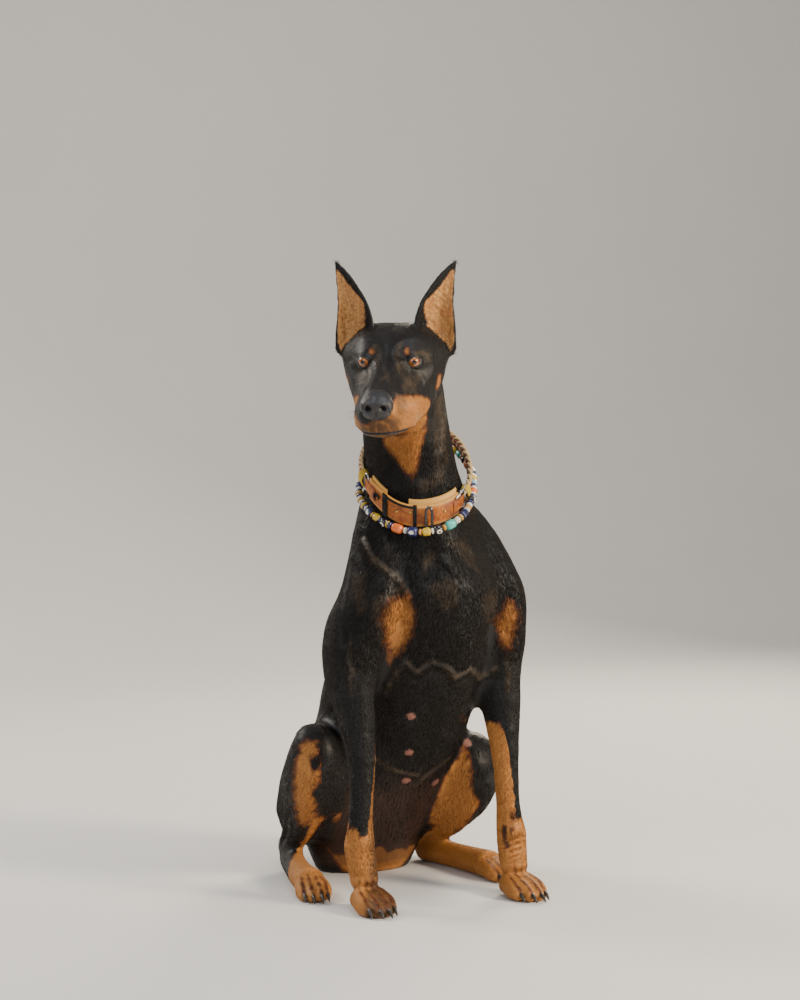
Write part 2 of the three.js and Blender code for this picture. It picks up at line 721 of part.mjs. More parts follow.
const fittings = strap(LEATHER[0] - 12, LEATHER[1] + 12, -17, 17, -2, 8, 16);
const beads = cord(beadRing, 0, 360, (i) => (i % 3 ? 6.2 : 2.6), 3 * BEAD_COUNT, 6);
part("collar_beads", beads, ...body, fittings, dring(2.2), braid(8 + SEAM));

// Materials, by the start of a part's name. The coat is the last, for all the rest.

const FINISHES = [
  ["nose", { color: 0x17110f, roughness: 0.35 }],
  ["eye_", { color: 0x5a2c10, roughness: 0.08 }],
  ["collar_leather", { color: 0x9a4a1c, roughness: 0.5 }],
  ["collar_keeper", { color: 0x2c2927, roughness: 0.4, metalness: 0.6 }],
  ["collar_dring", { color: 0x8c8c8a, roughness: 0.25, metalness: 1 }],
  ["collar_ring", { color: 0x8c8c8a, roughness: 0.25, metalness: 1 }],
  ["collar_braid", { color: 0x8a4a3c, roughness: 0.85 }],
  ["collar_beads", { color: 0xb08a2c, roughness: 0.2 }],
  ["", { color: 0x0d0b0a, roughness: 0.45 }],
];

// The finished group, moved so that its box stands over the origin

const dog = new THREE.Group();
for (const [name, solid] of solids) {
  const [, finish] = FINISHES.find(([start]) => name.startsWith(start));
  const piece = new THREE.Mesh(geometryOf(solid), new THREE.MeshStandardMaterial(finish));
  piece.name = name;
  dog.add(piece);
}
const bounds = new THREE.Box3().setFromObject(dog);
const middle = bounds.getCenter(vec(0, 0, 0));
for (const piece of dog.children) piece.position.set(-middle.x, -middle.y, -bounds.min.z);

export default dog;
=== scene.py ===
# %% [markdown]
# A seated Doberman pinscher bitch, life size, with a leather collar and a string of beads.
# The body is worked out in the dog's own frame, in millimetres: she faces -Y, her left side is
# +X, up is +Z, and the middle between her fore paws is at x = 0, y = 0. Only the last step of
# each piece turns it into metres in the frame of the solids.

import bmesh
import bpy
import numpy as np
from mathutils import Matrix, Vector
from mathutils.bvhtree import BVHTree


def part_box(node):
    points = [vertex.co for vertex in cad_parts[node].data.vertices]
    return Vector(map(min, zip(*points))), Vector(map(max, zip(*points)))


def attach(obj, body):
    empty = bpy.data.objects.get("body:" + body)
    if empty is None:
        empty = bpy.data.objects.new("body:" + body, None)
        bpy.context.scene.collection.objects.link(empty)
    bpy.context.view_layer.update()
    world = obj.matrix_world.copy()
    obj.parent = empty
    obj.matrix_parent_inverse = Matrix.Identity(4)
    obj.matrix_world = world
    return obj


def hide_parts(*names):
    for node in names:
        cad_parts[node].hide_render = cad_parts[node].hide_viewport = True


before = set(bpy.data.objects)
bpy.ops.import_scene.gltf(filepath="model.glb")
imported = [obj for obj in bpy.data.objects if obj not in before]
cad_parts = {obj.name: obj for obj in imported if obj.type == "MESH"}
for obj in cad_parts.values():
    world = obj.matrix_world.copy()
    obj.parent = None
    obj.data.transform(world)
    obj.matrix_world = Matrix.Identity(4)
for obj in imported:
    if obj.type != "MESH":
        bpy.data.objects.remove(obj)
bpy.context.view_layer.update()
print("solids:", len(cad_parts), "nodes")

# %% [markdown]
# The head is built straight, with y running back from the eyes and z up from them, and is then
# nodded and turned. The left eyeball is a plain ball in the solids too, so its box tells how far
# the dog's frame lies from theirs.

# %% The dog's frame and the head's frame
HEAD_AT = np.array([-92.0, -30.0, 756.0])
HEAD_TURN, HEAD_NOD = np.radians([-33, 17])
EYE_AT = np.array([32.0, 9.0, 0.0])
EYE_RADIUS = 12.0
EYE_GAZE = np.radians(16)


HEAD = np.array(Matrix.Rotation(HEAD_TURN, 3, "Z") @ Matrix.Rotation(HEAD_NOD, 3, "X"))


def on_head(points):
    """From the head's frame to the dog's: turn, then move."""
    return np.asarray(points) @ HEAD.T + HEAD_AT


def in_head(points):
    """From the dog's frame to the head's."""
    return (points - HEAD_AT) @ HEAD


def folded(points):
    """Points of the head's frame, mirrored onto its left side."""
    return np.column_stack([np.abs(points[:, 0]), points[:, 1:]])


def unit(vectors):
    """Vectors divided by their own lengths."""
    return vectors / np.linalg.norm(vectors, axis=-1, keepdims=True)


eye_box = np.array([list(corner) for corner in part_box("eye_left")]) * 1000
SHIFT = eye_box.mean(0) - on_head(EYE_AT)


def placed(points):
    """Dog's frame in millimetres to the solids' frame in metres."""
    return (points + SHIFT) / 1000


print("dog's frame lies at", SHIFT.round(2), "mm")

# %% [markdown]
# The camera stands 3.4 m away at the height of the dog's eyes, 25 degrees round to her right, and
# looks a little down. Because it is known before anything is built, a mark seen in the photo can
# be set on the finished skin: a ray from the camera through its pixel finds the place.

# %% Camera
MIDDLE_PX, MIDDLE_PY = 400, 500  # middle of the 800 by 1000 image
FOCAL = 2450.0  # focal length in pixels
LEVEL_PY = 358  # the row of pixels that lies level with the camera
SENSOR = 36.0
FAR, AZIMUTH, HEIGHT, ASIDE = 3400.0, np.radians(-25), 763.0, 55.5
PITCH = np.arctan((MIDDLE_PY - LEVEL_PY) / FOCAL)
towards = np.array([np.sin(AZIMUTH), -np.cos(AZIMUTH), 0])
rightward = np.array([np.cos(AZIMUTH), np.sin(AZIMUTH), 0])
CAMERA_AT = towards * FAR - rightward * ASIDE + [0, 0, HEIGHT]
camera = bpy.data.objects.new("photo_camera", bpy.data.cameras.new("photo_camera"))
bpy.context.collection.objects.link(camera)
camera.data.sensor_width = SENSOR
camera.data.lens = SENSOR * FOCAL / (2 * MIDDLE_PY)
camera.location = placed(CAMERA_AT)
look = Vector(-towards * np.cos(PITCH) - np.array([0, 0, np.sin(PITCH)]))
camera.rotation_mode = "QUATERNION"
camera.rotation_quaternion = look.to_track_quat("-Z", "Y")
CAMERA_TURN = np.array(camera.rotation_quaternion.to_matrix())
bpy.context.scene.camera = camera


def ray_through(px, py):
    """The direction from the camera through a pixel, in the dog's frame."""
    return unit(CAMERA_TURN @ np.array([px - MIDDLE_PX, MIDDLE_PY - py, -FOCAL]))


print("camera at", CAMERA_AT.round(), "mm")

# %% [markdown]
# A limb is a row of oval rings, and a smooth curve through their sizes gives every ring between
# them. The same few numbers then make a coarse solid or a fine skin.

# %% Curves and grids
def between(p0, p1, p2, p3, s):
    """Catmull-Rom curve from p1 to p2 at shares s. It leaves p1 along p2 - p0 and reaches p2 along
    p3 - p1, each at half its length."""
    bend, twist = 2 * p0 - 5 * p1 + 4 * p2 - p3, 3 * (p1 - p2) + p3 - p0
    return 0.5 * (2 * p1 + (p2 - p0) * s + bend * s**2 + twist * s**3)


def through(rows, t):
    """The curve through rows of numbers at places t, counted in rows."""
    rows = np.asarray(rows, float)
    last = len(rows) - 1
    rows = np.concatenate([[2 * rows[0] - rows[1]], rows, [2 * rows[-1] - rows[-2]]])
    i = np.clip(np.floor(t).astype(int), 0, last - 1)
    return between(*(rows[i + k] for k in range(4)), (t - i)[:, None])


def loop_through(knots, around):
    """A closed curve through eight knots (on the last axis but one) at even steps."""
    t = 8 * np.arange(around) / around
    i = np.floor(t).astype(int)
    return between(*(knots[..., (i + k) % 8, :] for k in (-1, 0, 1, 2)), (t - i)[:, None])


def profile(*pairs):
    """A smooth curve through (place, value) pairs, level beyond its ends."""
    x, y = np.array(pairs, float).T
    n = np.arange(len(x))
    below, above = np.maximum(n - 1, 0), np.minimum(n + 1, len(x) - 1)
    slope = (y[above] - y[below]) / (x[above] - x[below])

    def curve(at):
        at = np.clip(at, x[0], x[-1])
        i = np.clip(np.searchsorted(x, at, side="right") - 1, 0, len(x) - 2)
        h = x[i + 1] - x[i]
        t = (at - x[i]) / h
        return (y[i] * (2 * t**3 - 3 * t**2 + 1) + slope[i] * h * (t**3 - 2 * t**2 + t)
                + y[i + 1] * (3 * t**2 - 2 * t**3) + slope[i + 1] * h * (t**3 - t**2))

    return curve


def grid_quads(rows, around):
    """Quads of a grid that is closed round."""
    k = np.arange(around)
    a = around * np.arange(rows - 1)[:, None] + k
    b = around * np.arange(rows - 1)[:, None] + (k + 1) % around
    return np.stack([a, b, b + around, a + around], -1).reshape(-1, 4)


def outwards(points, faces):
    """The faces turned outwards, which the sign of the volume inside them tells."""
    a, b, c = (points[faces[:, i]] - points.mean(0) for i in range(3))
    return faces if (a * np.cross(b, c)).sum() > 0 else faces[:, ::-1]


def closed(rows, first, last):
    """Points and triangles of a stack of closed rows with a pole at either end."""
    count, around = rows.shape[:2]
    points = np.vstack([first, rows.reshape(-1, 3), last])
    k, end = np.arange(around), count * around + 1
    start_fan = np.stack([0 * k, 1 + (k + 1) % around, 1 + k], -1)
    last_row = 1 + (count - 1) * around
    end_fan = np.stack([0 * k + end, last_row + k, last_row + (k + 1) % around], -1)
    body = (1 + grid_quads(count, around))[:, [0, 1, 2, 0, 2, 3]].reshape(-1, 3)
    return points, outwards(points, np.vstack([start_fan, body, end_fan]))


def tube(rings, around=64, along=8, ends=(10, 10), caps=6):
    """A tube through rings, each a row of centre, side vector, front vector, the depth behind
    as a share of the depth in front, and the share by which the front is narrowed."""
    spans = len(rings) - 1
    angle = 2 * np.pi * np.arange(around) / around
    c, s = np.cos(angle), np.sin(angle)

    def rows_at(sizes, scale, shift):
        centre, side, front, back, egg = np.split(sizes[:, None, :], [3, 6, 9, 10], -1)
        reach = np.where(s > 0, s, s * back[..., 0])
        wide = c * (1 - egg[..., 0] * s)
        out = side * wide[..., None] + front * reach[..., None]
        return centre + shift[:, None, :] + out * np.asarray(scale)[:, None, None]

    turn = np.pi / 2 * np.arange(1, caps + 1) / (caps + 1)
    near = through(rings, np.array([0, 0.1, spans - 0.1, spans]))
    stacks, poles = [], []
    for place, before, length in ((0, 1, ends[0]), (3, 2, ends[1])):
        way = unit(near[place, :3] - near[before, :3]) * length
        same = np.repeat(near[place:place + 1], caps, 0)
        stacks.append(rows_at(same, np.cos(turn), np.sin(turn)[:, None] * way))
        poles.append(near[place, :3] + way)
    t = np.linspace(0, spans, spans * along + 1)
    body = rows_at(through(rings, t), np.ones(len(t)), np.zeros((len(t), 3)))
    return closed(np.concatenate([stacks[0][::-1], body, stacks[1]]), *poles)


def limb(stations, side=1):
    """Rings for a limb from stations x, y, z, half width, fore, aft, each square to its run."""
    x, y, z, wide, fore, aft = np.array(stations, float).T
    centre = np.stack([x * side, y, z], -1)
    n = np.arange(len(centre))
    along = unit(centre[np.minimum(n + 1, len(n) - 1)] - centre[np.maximum(n - 1, 0)])
    across = unit(np.array([side, 0, 0]) - along * (along[:, :1] * side))
    front = unit(np.cross(across, along) * side)
    shape = [centre, across * wide[:, None], front * fore[:, None], (aft / fore)[:, None]]
    return np.concatenate([*shape, np.zeros((len(n), 1))], -1)


# %% [markdown]
# The trunk is the largest form. Each of its rings is given by a point on the back and a point on
# the belly, because those two lines are what one sees of a sitting dog from the side.

# %% Trunk, neck and tail
TRUNK = [  # back y and z, belly y and z, half width, egg, x
    (300, -16, 234, -16, 66, 0, 2), (350, 66, 198, 42, 92, 0, 5),
    (346, 168, 150, 112, 98, -0.04, 10), (310, 282, 90, 190, 104, -0.1, 14),
    (256, 392, 30, 270, 102, -0.1, 12), (205, 486, -26, 356, 96, -0.03, 9),
    (152, 562, -52, 430, 80, -0.06, 7), (122, 600, -32, 484, 64, -0.06, 3),
]
NECK = [
    (0, 62, 484, 78, 92, 84), (0, 74, 552, 69, 84, 80), (-10, 74, 594, 64, 81, 78),
    (-16, 70, 636, 59, 76, 74), (-28, 58, 690, 57, 68, 68), (-34, 50, 738, 52, 58, 58),
    (-38, 46, 772, 40, 40, 46),
]
TAIL = [(0, 400, 60, 11, 12, 12), (0, 340, 94, 18, 18, 18)]


def trunk_rings():
    back_y, back_z, belly_y, belly_z, wide, egg, x = np.array(TRUNK, float).T
    none, one = np.zeros(len(x)), np.ones(len(x))
    centre = np.stack([x, (back_y + belly_y) / 2, (back_z + belly_z) / 2], -1)
    side = np.stack([wide, none, none], -1)
    front = np.stack([none, (belly_y - back_y) / 2, (belly_z - back_z) / 2], -1)
    return np.concatenate([centre, side, front, one[:, None], egg[:, None]], -1)


flesh = [
    tube(trunk_rings(), around=96, along=14, ends=(20, 16)),
    tube(limb(NECK), around=72, ends=(10, 14)),
    tube(limb(TAIL), around=24, ends=(8, 10)),
]
print("trunk, neck and tail:", sum(len(points) for points, _ in flesh), "points")

# %% [markdown]
# She sits a little askew, so each leg has its own stations. The thigh and the shank are two
# tubes that lie against each other, as they do in a folded leg.

# %% Legs
LEGS = {
    1: {
        "fore": [(121, 6, 40, 20, 18, 18), (122, 18, 84, 21, 21, 22), (120, 22, 126, 17, 18, 20),
                 (118, 28, 190, 19, 22, 24), (119, 40, 252, 25, 30, 34), (120, 58, 314, 32, 44, 50),
                 (116, 54, 372, 38, 56, 60), (102, 36, 432, 38, 54, 64), (80, 58, 500, 32, 46, 56),
                 (54, 94, 560, 22, 28, 34)],
        "thigh": [(64, 298, 88, 62, 64, 52), (84, 250, 124, 56, 74, 58),
                  (106, 190, 148, 46, 62, 60), (128, 136, 172, 34, 38, 44)],
        "shank": [(108, 282, 36, 17, 20, 18), (112, 252, 54, 20, 26, 22),
                  (118, 210, 86, 26, 38, 30), (126, 168, 122, 33, 44, 38),
                  (132, 140, 156, 33, 40, 36)],
        "foot": [(142, 124, 20, 22, 19, 22), (134, 170, 20, 19, 17, 22),
                 (121, 224, 21, 17, 17, 22), (108, 276, 25, 17, 22, 26)],
        "fore_paw": (120, -8, 3), "hind_paw": (144, 114, 10), "elbow": (124, 102, 316),
    },
    -1: {
        "fore": [(113, 6, 40, 20, 18, 18), (114, 18, 84, 21, 21, 22), (112, 20, 126, 17, 18, 20),
                 (107, 26, 190, 18, 22, 24), (108, 40, 252, 24, 30, 34), (111, 58, 314, 32, 44, 50),
                 (106, 54, 372, 38, 56, 62), (90, 36, 432, 37, 56, 64), (71, 58, 500, 33, 46, 56),
                 (52, 92, 560, 24, 28, 34)],
        "thigh": [(62, 298, 90, 60, 64, 52), (80, 250, 132, 54, 74, 58),
                  (98, 192, 172, 45, 62, 60), (130, 138, 204, 33, 37, 42)],
        "shank": [(110, 286, 36, 17, 20, 18), (114, 256, 60, 19, 23, 22),
                  (122, 212, 102, 25, 33, 30), (132, 168, 148, 32, 39, 38),
                  (136, 140, 190, 32, 36, 36)],
        "foot": [(146, 122, 20, 22, 19, 22), (138, 170, 20, 19, 17, 22),
                 (124, 228, 21, 17, 17, 22), (110, 280, 25, 17, 22, 26)],
        "fore_paw": (112, -8, 0), "hind_paw": (148, 112, 12), "elbow": (116, 102, 318),
    },
}
for side, leg in LEGS.items():
    flesh += [
        tube(limb(leg["fore"], side), ends=(12, 14)),
        tube(limb(leg["thigh"], side), ends=(30, 26)),
        tube(limb(leg["shank"], side), ends=(10, 24)),
        tube(limb(leg["foot"], side), around=48, ends=(8, 12)),
    ]
    elbow = np.array(leg["elbow"], float) * [side, 1, 1]
    flesh.append(tube(limb([(*elbow - [side * 3, 26, 16], 18, 18, 18),
                            (*elbow - [side * 2, 14, 2], 13, 14, 14)]), around=32, ends=(8, 9)))
print("legs:", len(flesh) - 3, "forms")

# %% [markdown]
# A dog stands on its toes. Each toe is an arched tube over the pad, the two middle toes reach
# further than the outer two, and each ends in a pad under the claw.

# %% Paws
PAWS = {
    "fore": {"across": (-18, -6.5, 6.5, 18), "reach": (-34, -46, -47, -36), "girth": 10},
    "hind": {"across": (-16, -5.8, 5.8, 16), "reach": (-30, -42, -42, -31), "girth": 9},
}


def paw_place(paw, x, y, z):
    """A point of a left paw in the dog's frame."""
    cx, cy, turn = paw
    c, s = np.cos(np.radians(turn)), np.sin(np.radians(turn))
    return cx + x * c - y * s, cy + x * s + y * c, z


claw_seats = []
for side, leg in LEGS.items():
    for kind, shape in PAWS.items():
        paw, g = leg[kind + "_paw"], shape["girth"]
        for x, reach in zip(shape["across"], shape["reach"]):
            stations = [
                (*paw_place(paw, x * 1.04, reach, g * 0.8), g * 0.78, g * 0.9, g * 0.8),
                (*paw_place(paw, x * 1.06, reach * 0.6, g * 1.5), g, g * 1.1, g * 1.6),
                (*paw_place(paw, x * 0.85, 2, g * 2.2), g * 0.95, g * 1.1, g * 2),
            ]
            flesh.append(tube(limb(stations, side), around=28, ends=(g * 0.6, g)))
            claw_seats.append((paw, side, x, reach, g))
        stations = [(*paw_place(paw, 0, -14, 12), 22, 14, 14),
                    (*paw_place(paw, 0, 14, 15), 23, 20, 16)]
        flesh.append(tube(limb(stations, side), around=40, ends=(10, 12)))
print("paws:", len(claw_seats), "toes")

# %% [markdown]
# A Doberman's head is a long blunt wedge. Its sections are closed curves through eight knots:
# the crown, the edge of the bridge, the cheek, the chin, the jaw line, and back up.

# %% Head
CROWN = profile((-118, -8), (-108, -4), (-70, 0), (-30, 5), (-8, 12), (15, 25), (45, 33),
                (75, 34), (100, 27), (122, 10))
JAW = profile((-118, -62), (-106, -72), (-80, -76), (-40, -79), (0, -84), (40, -89), (80, -84),
              (122, -60))
CHEEK = profile((-118, 25), (-104, 31), (-70, 36), (-35, 41), (-10, 46), (10, 53), (35, 62),
                (55, 66), (80, 63), (105, 52), (122, 40))
CHEEK_LEVEL = profile((-120, -38), (-40, -44), (0, -34), (40, -22), (100, -14))
BRIDGE = profile((-118, 14), (-104, 17), (-70, 17), (-30, 19), (-8, 26), (15, 37), (45, 44),
                 (80, 42), (122, 26))
CHIN = profile((-118, 15), (-104, 22), (-70, 31), (-35, 38), (0, 42), (40, 44), (80, 40),
               (122, 28))
HEAD_SWELLINGS = [  # x, y, z, size, lift
    (26, -2, 16, 8, 5), (38, 4, 12, 7, 3), (62, 66, -2, 13, 8), (47, 14, -10, 13, 3),
    (38, -12, -14, 10, -4), (26, -50, -14, 14, -3), (60, 52, -34, 22, 4), (0, -6, 16, 8, -3),
    (0, 48, 36, 18, -2), (34, -60, -62, 16, 3),
]


def swelling(points, bumps, mirrored=True):
    """The sum of round bumps, each its lift times exp(-(distance / size)^2 / 2). Mirrored, those
    off the middle are on both sides."""
    lift = np.zeros(len(points))
    for x, y, z, size, height in bumps:
        for sign in ((1, -1) if x and mirrored else (1,)):
            off = ((points - [x * sign, y, z]) ** 2).sum(-1)
            lift += height * np.exp(-off / (2 * size**2))
    return lift


def head_rows(y, around):
    """Sections of the head at places y, in the head's frame: closed Catmull-Rom curves."""
    top, low, wide, level = CROWN(y), JAW(y), CHEEK(y), CHEEK_LEVEL(y)
    bridge, chin, none = BRIDGE(y), CHIN(y), 0 * y
    x = np.stack([none, bridge, wide, chin, none, -chin, -wide, -bridge], -1)
    z = np.stack([top, top - 6, level, low + 7, low, low + 7, level, top - 6], -1)
    ring = loop_through(np.stack([x, z], -1), around)
    along = np.broadcast_to(y[:, None], ring.shape[:2])
    rows = np.stack([ring[..., 0], along, ring[..., 1]], -1)
    out = unit(rows - np.stack([none, y, level], -1)[:, None])
    lift = swelling(rows.reshape(-1, 3), HEAD_SWELLINGS).reshape(rows.shape[:2])
    return rows + out * lift[..., None]


def skull(around=120):
    """The head as a stack of sections, rounded at both ends."""
    front, back = -116.0, 112.0

    def cap(end, length):
        d = length * np.array([0, 0.25, 0.5, 0.7, 0.85, 0.95])
        row = head_rows(np.array([end]), around)[0]
        middle = np.array([0, end, (CROWN(end) + JAW(end)) / 2])
        scale = np.sqrt(1 - (d / length) ** 2)[:, None, None]
        rows = middle + (row - middle) * scale
        rows[..., 1] = end + np.sign(end) * d[:, None]
        return rows, middle + [0, np.sign(end) * length, 0]

    nose_end, nose_pole = cap(front, 8)
    nape_end, nape_pole = cap(back, 14)
    body = head_rows(np.linspace(front, back, 116)[1:-1], around)
    rows = np.concatenate([nose_end[::-1], body, nape_end])
    return closed(on_head(rows), on_head(nose_pole), on_head(nape_pole))


flesh.append(skull())
print("head:", len(flesh[-1][0]), "points")

# %% [markdown]
# A cropped ear is a cupped blade. Each of its sections runs round the back of the cup and
# returns along the hollow. The same formula later tells which skin lies inside the cup.

# %% Ears
EAR_LENGTH, EAR_HALF = 108.0, 40
EAR_BASE = np.array([51.0, 66.0, 18.0])
SPLAY, LEAN = np.radians([13, 17])
EAR_WIDTH = profile((0, 40), (0.1, 57), (0.24, 60), (0.42, 51), (0.6, 37), (0.8, 22), (0.95, 8),
                    (1, 3))
EAR_CUP = profile((0, 78), (0.3, 66), (0.6, 48), (1, 20))
EAR_SWEEP = profile((0, 3), (0.1, 7), (0.22, 3), (0.5, -1.5), (0.8, 2.5), (1, 9))
EAR_THICK = profile((0, 5), (0.3, 4), (1, 2.4))
ear_along = np.array([np.sin(SPLAY), np.cos(SPLAY) * np.sin(LEAN), np.cos(SPLAY) * np.cos(LEAN)])
ear_open = unit(np.array([0.3, -1, 0]) - ear_along * np.dot([0.3, -1, 0], ear_along))
ear_across = np.cross(ear_along, ear_open)
ear_across *= np.sign(ear_across[0])


def ear_drop(spread):
    """How much lower the ear's root lies towards its outer edge."""
    return 11 * np.clip(spread, 0, 1) ** 2


def ear_arc(t, spread, offset):
    """Points of the ear blade in the head's frame, right for the left ear: t runs from root to
    tip, spread from -1 to 1 round the cup, and offset is the distance from the blade's middle."""
    angle = np.radians(EAR_CUP(t))
    radius = EAR_WIDTH(t) / (2 * np.sin(angle))
    turn, r = angle * spread, np.maximum(radius + offset, 0.4)
    along = t * EAR_LENGTH - (20 + ear_drop(spread)) * (1 - t) ** 2
    across = r * np.sin(turn) + EAR_SWEEP(t)
    opened = radius * np.cos(angle) - r * np.cos(turn) + 6 * (1 - t)
    return (EAR_BASE + along[..., None] * ear_along + across[..., None] * ear_across
            + opened[..., None] * ear_open)


for side in (1, -1):
    t, spread = np.meshgrid(np.linspace(0, 1, 90), np.linspace(-1, 1, EAR_HALF), indexing="ij")
    half = EAR_THICK(t) / 2 + 0.35
    rows = np.concatenate([ear_arc(t, spread, half),
                           ear_arc(t, spread[:, ::-1] * 0.97, -half)], 1)
    rows = on_head(rows * [side, 1, 1])
    flesh.append(closed(rows, rows[0].mean(0), rows[-1].mean(0)))
print("ears: two blades of", rows.shape[0], "sections")

# %% [markdown]
# All these forms overlap. A voxel remesh wraps them in one closed skin, at one size of cell.
# The head and the paws need finer cells than the trunk, so the forms are first stretched: above
# the neck they are drawn out to two and a half times their size, the skin is wrapped, and the
# stretch is undone.

# %% One skin
CELL = 5.6
STRETCH = profile((-50, 1.7), (40, 1.7), (90, 1), (620, 1), (690, 2.2), (800, 2.4), (960, 2.7))
heights = np.linspace(-60, 1000, 5301)
rates = STRETCH(heights)
drawn = np.cumsum(rates) * (heights[1] - heights[0])
MIDDLE = np.array([-60.0, 20.0])


def stretch(points):
    """Scales x and y by the rate at the point's height, and z by the sum of the rates below."""
    rate = np.interp(points[:, 2], heights, rates)[:, None]
    level = np.interp(points[:, 2], heights, drawn)
    return np.column_stack([MIDDLE + (points[:, :2] - MIDDLE) * rate, level])


def unstretch(points):
    z = np.interp(points[:, 2], drawn, heights)
    rate = np.interp(z, heights, rates)[:, None]
    return np.column_stack([MIDDLE + (points[:, :2] - MIDDLE) / rate, z])


def mesh_of(name, points, faces):
    """A mesh from arrays of points and of faces with the same number of corners."""
    mesh = bpy.data.meshes.new(name)
    mesh.vertices.add(len(points))
    mesh.vertices.foreach_set("co", np.asarray(points, np.float32).ravel())
    mesh.loops.add(faces.size)
    mesh.loops.foreach_set("vertex_index", np.asarray(faces, np.int32).ravel())
    mesh.polygons.add(len(faces))
    mesh.polygons.foreach_set("loop_start", np.arange(len(faces), dtype=np.int32) * faces.shape[1])
    mesh.update(calc_edges=True)
    return mesh


def joined(shapes):
    """Several (points, faces) as one, and the number of the shape of each point."""
    starts = np.cumsum([0] + [len(points) for points, _ in shapes])
    faces = np.vstack([faces + start for (_, faces), start in zip(shapes, starts)])
    numbers = np.repeat(np.arange(len(shapes)), [len(points) for points, _ in shapes])
    return np.vstack([points for points, _ in shapes]), faces, numbers


FLOOR = 1.2  # the skin's own level: the coat takes up the rest
lumps, lump_faces, _ = joined(flesh)
lumps[:, 2] = np.maximum(lumps[:, 2], FLOOR)
form_tree = BVHTree.FromPolygons(lumps.tolist(), lump_faces.tolist())
wrap = bpy.data.objects.new("wrap", mesh_of("wrap", stretch(lumps) / 1000, lump_faces))
bpy.context.collection.objects.link(wrap)
remesh = wrap.modifiers.new("skin", "REMESH")
remesh.mode, remesh.voxel_size = "VOXEL", CELL / 1000
wrapped = bpy.data.meshes.new_from_object(
    wrap.evaluated_get(bpy.context.evaluated_depsgraph_get()))
bpy.data.objects.remove(wrap)
print("skin wrapped:", len(wrapped.vertices), "points,", len(wrapped.polygons), "quads")

# %% [markdown]
# The wrapped skin has a hard crease wherever two forms met. Under a real coat the flesh runs
# on, so each crease is filled: a point that lies in a hollow moves out to the mean of its
# neighbours, while a point on a bulge is let be, or the ears and toes would shrink.

# %% Creases filled
def read(mesh):
    """Points of a mesh, and its faces as rows of corners where all have the same number."""
    points = np.empty(3 * len(mesh.vertices), np.float32)
    mesh.vertices.foreach_get("co", points)
    corners = np.empty(len(mesh.loops), np.int32)
    mesh.loops.foreach_get("vertex_index", corners)
    return points.reshape(-1, 3).astype(float), corners.reshape(len(mesh.polygons), -1)


def edges_of(faces):
    """Each edge once, as a pair of point numbers."""
    pairs = np.stack([faces, np.roll(faces, -1, 1)], -1).reshape(-1, 2)
    return np.unique(np.sort(pairs, 1), axis=0)


def mean_of_neighbours(values):
    """For each point the mean of its values over the points that it shares an edge with."""
    a, b = edges.T
    count = len(values)
    number = np.bincount(edges.ravel(), minlength=count)
    columns = values.reshape(count, -1).T
    total = [np.bincount(a, v[b], count) + np.bincount(b, v[a], count) for v in columns]
    return (np.stack(total) / np.maximum(number, 1)).T.reshape(values.shape)


def relaxed(points, share):
    """Points moved by a share of the way to the mean of their neighbours."""
    return points + (mean_of_neighbours(points) - points) * share


def normals_of(points, faces):
    """Unit normals at the points: the sum of the faces' area vectors round each."""
    p = [points[faces[:, i]] for i in range(faces.shape[1])]
    area = np.cross(p[1] - p[0], p[2] - p[0]) if len(p) == 3 else np.cross(p[2] - p[0], p[3] - p[1])
    total = np.zeros_like(points)
    for axis in range(3):
        for i in range(faces.shape[1]):
            total[:, axis] += np.bincount(faces[:, i], area[:, axis], len(points))
    return total / np.maximum(np.linalg.norm(total, axis=1, keepdims=True), 1e-12)


def smooth(a, b, x):
    """0 below a, 1 above b and an even step between."""
    t = np.clip((x - a) / (b - a), 0, 1)
    return t * t * (3 - 2 * t)


skin, skin_faces = read(wrapped)
skin = unstretch(skin * 1000)
edges = edges_of(skin_faces)
for _ in range(26):
    mean = mean_of_neighbours(skin)
    normal = normals_of(skin, skin_faces)
    hollow = ((mean - skin) * normal).sum(1, keepdims=True)
    z = skin[:, 2:]
    strength = 0.12 + 0.38 * smooth(40, 110, z)
    ear_high = smooth(0, 20, in_head(skin)[:, 2:] - 46)
    share = np.where(hollow > 0, strength, 0.1) * (1 - 0.8 * ear_high)
    share = share * smooth(FLOOR - 0.1, FLOOR + 6, z)
    skin += (mean - skin) * share
# then the steps of the cells are taken off, by smoothing in and out again in turn
body = smooth(-116, -140, in_head(skin)[:, 2:]) * smooth(110, 150, skin[:, 2:])
for turn, share in enumerate((0.5, -0.52) * 16):
    skin = relaxed(skin, share * smooth(34, 60, skin[:, 2:]) * (1 if turn < 14 else body))
print("creases filled, skin spans", np.ptp(skin, axis=0).round(), "mm")

# %% [markdown]
# The lips and the rims of the eyes need a finer grid than the rest. Their faces are cut in
# four, and those right at the lips and the eyes once more.

# %% Finer grid where the face needs it
LIP = profile((-134, -60), (-112, -61.5), (-95, -63.5), (-80, -66.5), (-50, -73.5), (-34, -80))


def lip_distance(h):
    """Height above the line between the lips, in the head's frame."""
    return h[:, 2] - (LIP(h[:, 1]) - 3 * np.abs(h[:, 0]) / 60)


def near_eye(h):
    """Distance from the middle of the nearer eyeball."""
    return np.linalg.norm(folded(h) - EYE_AT, axis=1)


def wants_finer(points, level):
    h = in_head(points)
    mouth = (np.abs(lip_distance(h)) < (8, 4)[level]) & (h[:, 1] < -26) & (h[:, 1] > -130)
    return (mouth & (h[:, 2] > -110)) | (near_eye(h) < (24, 18)[level])


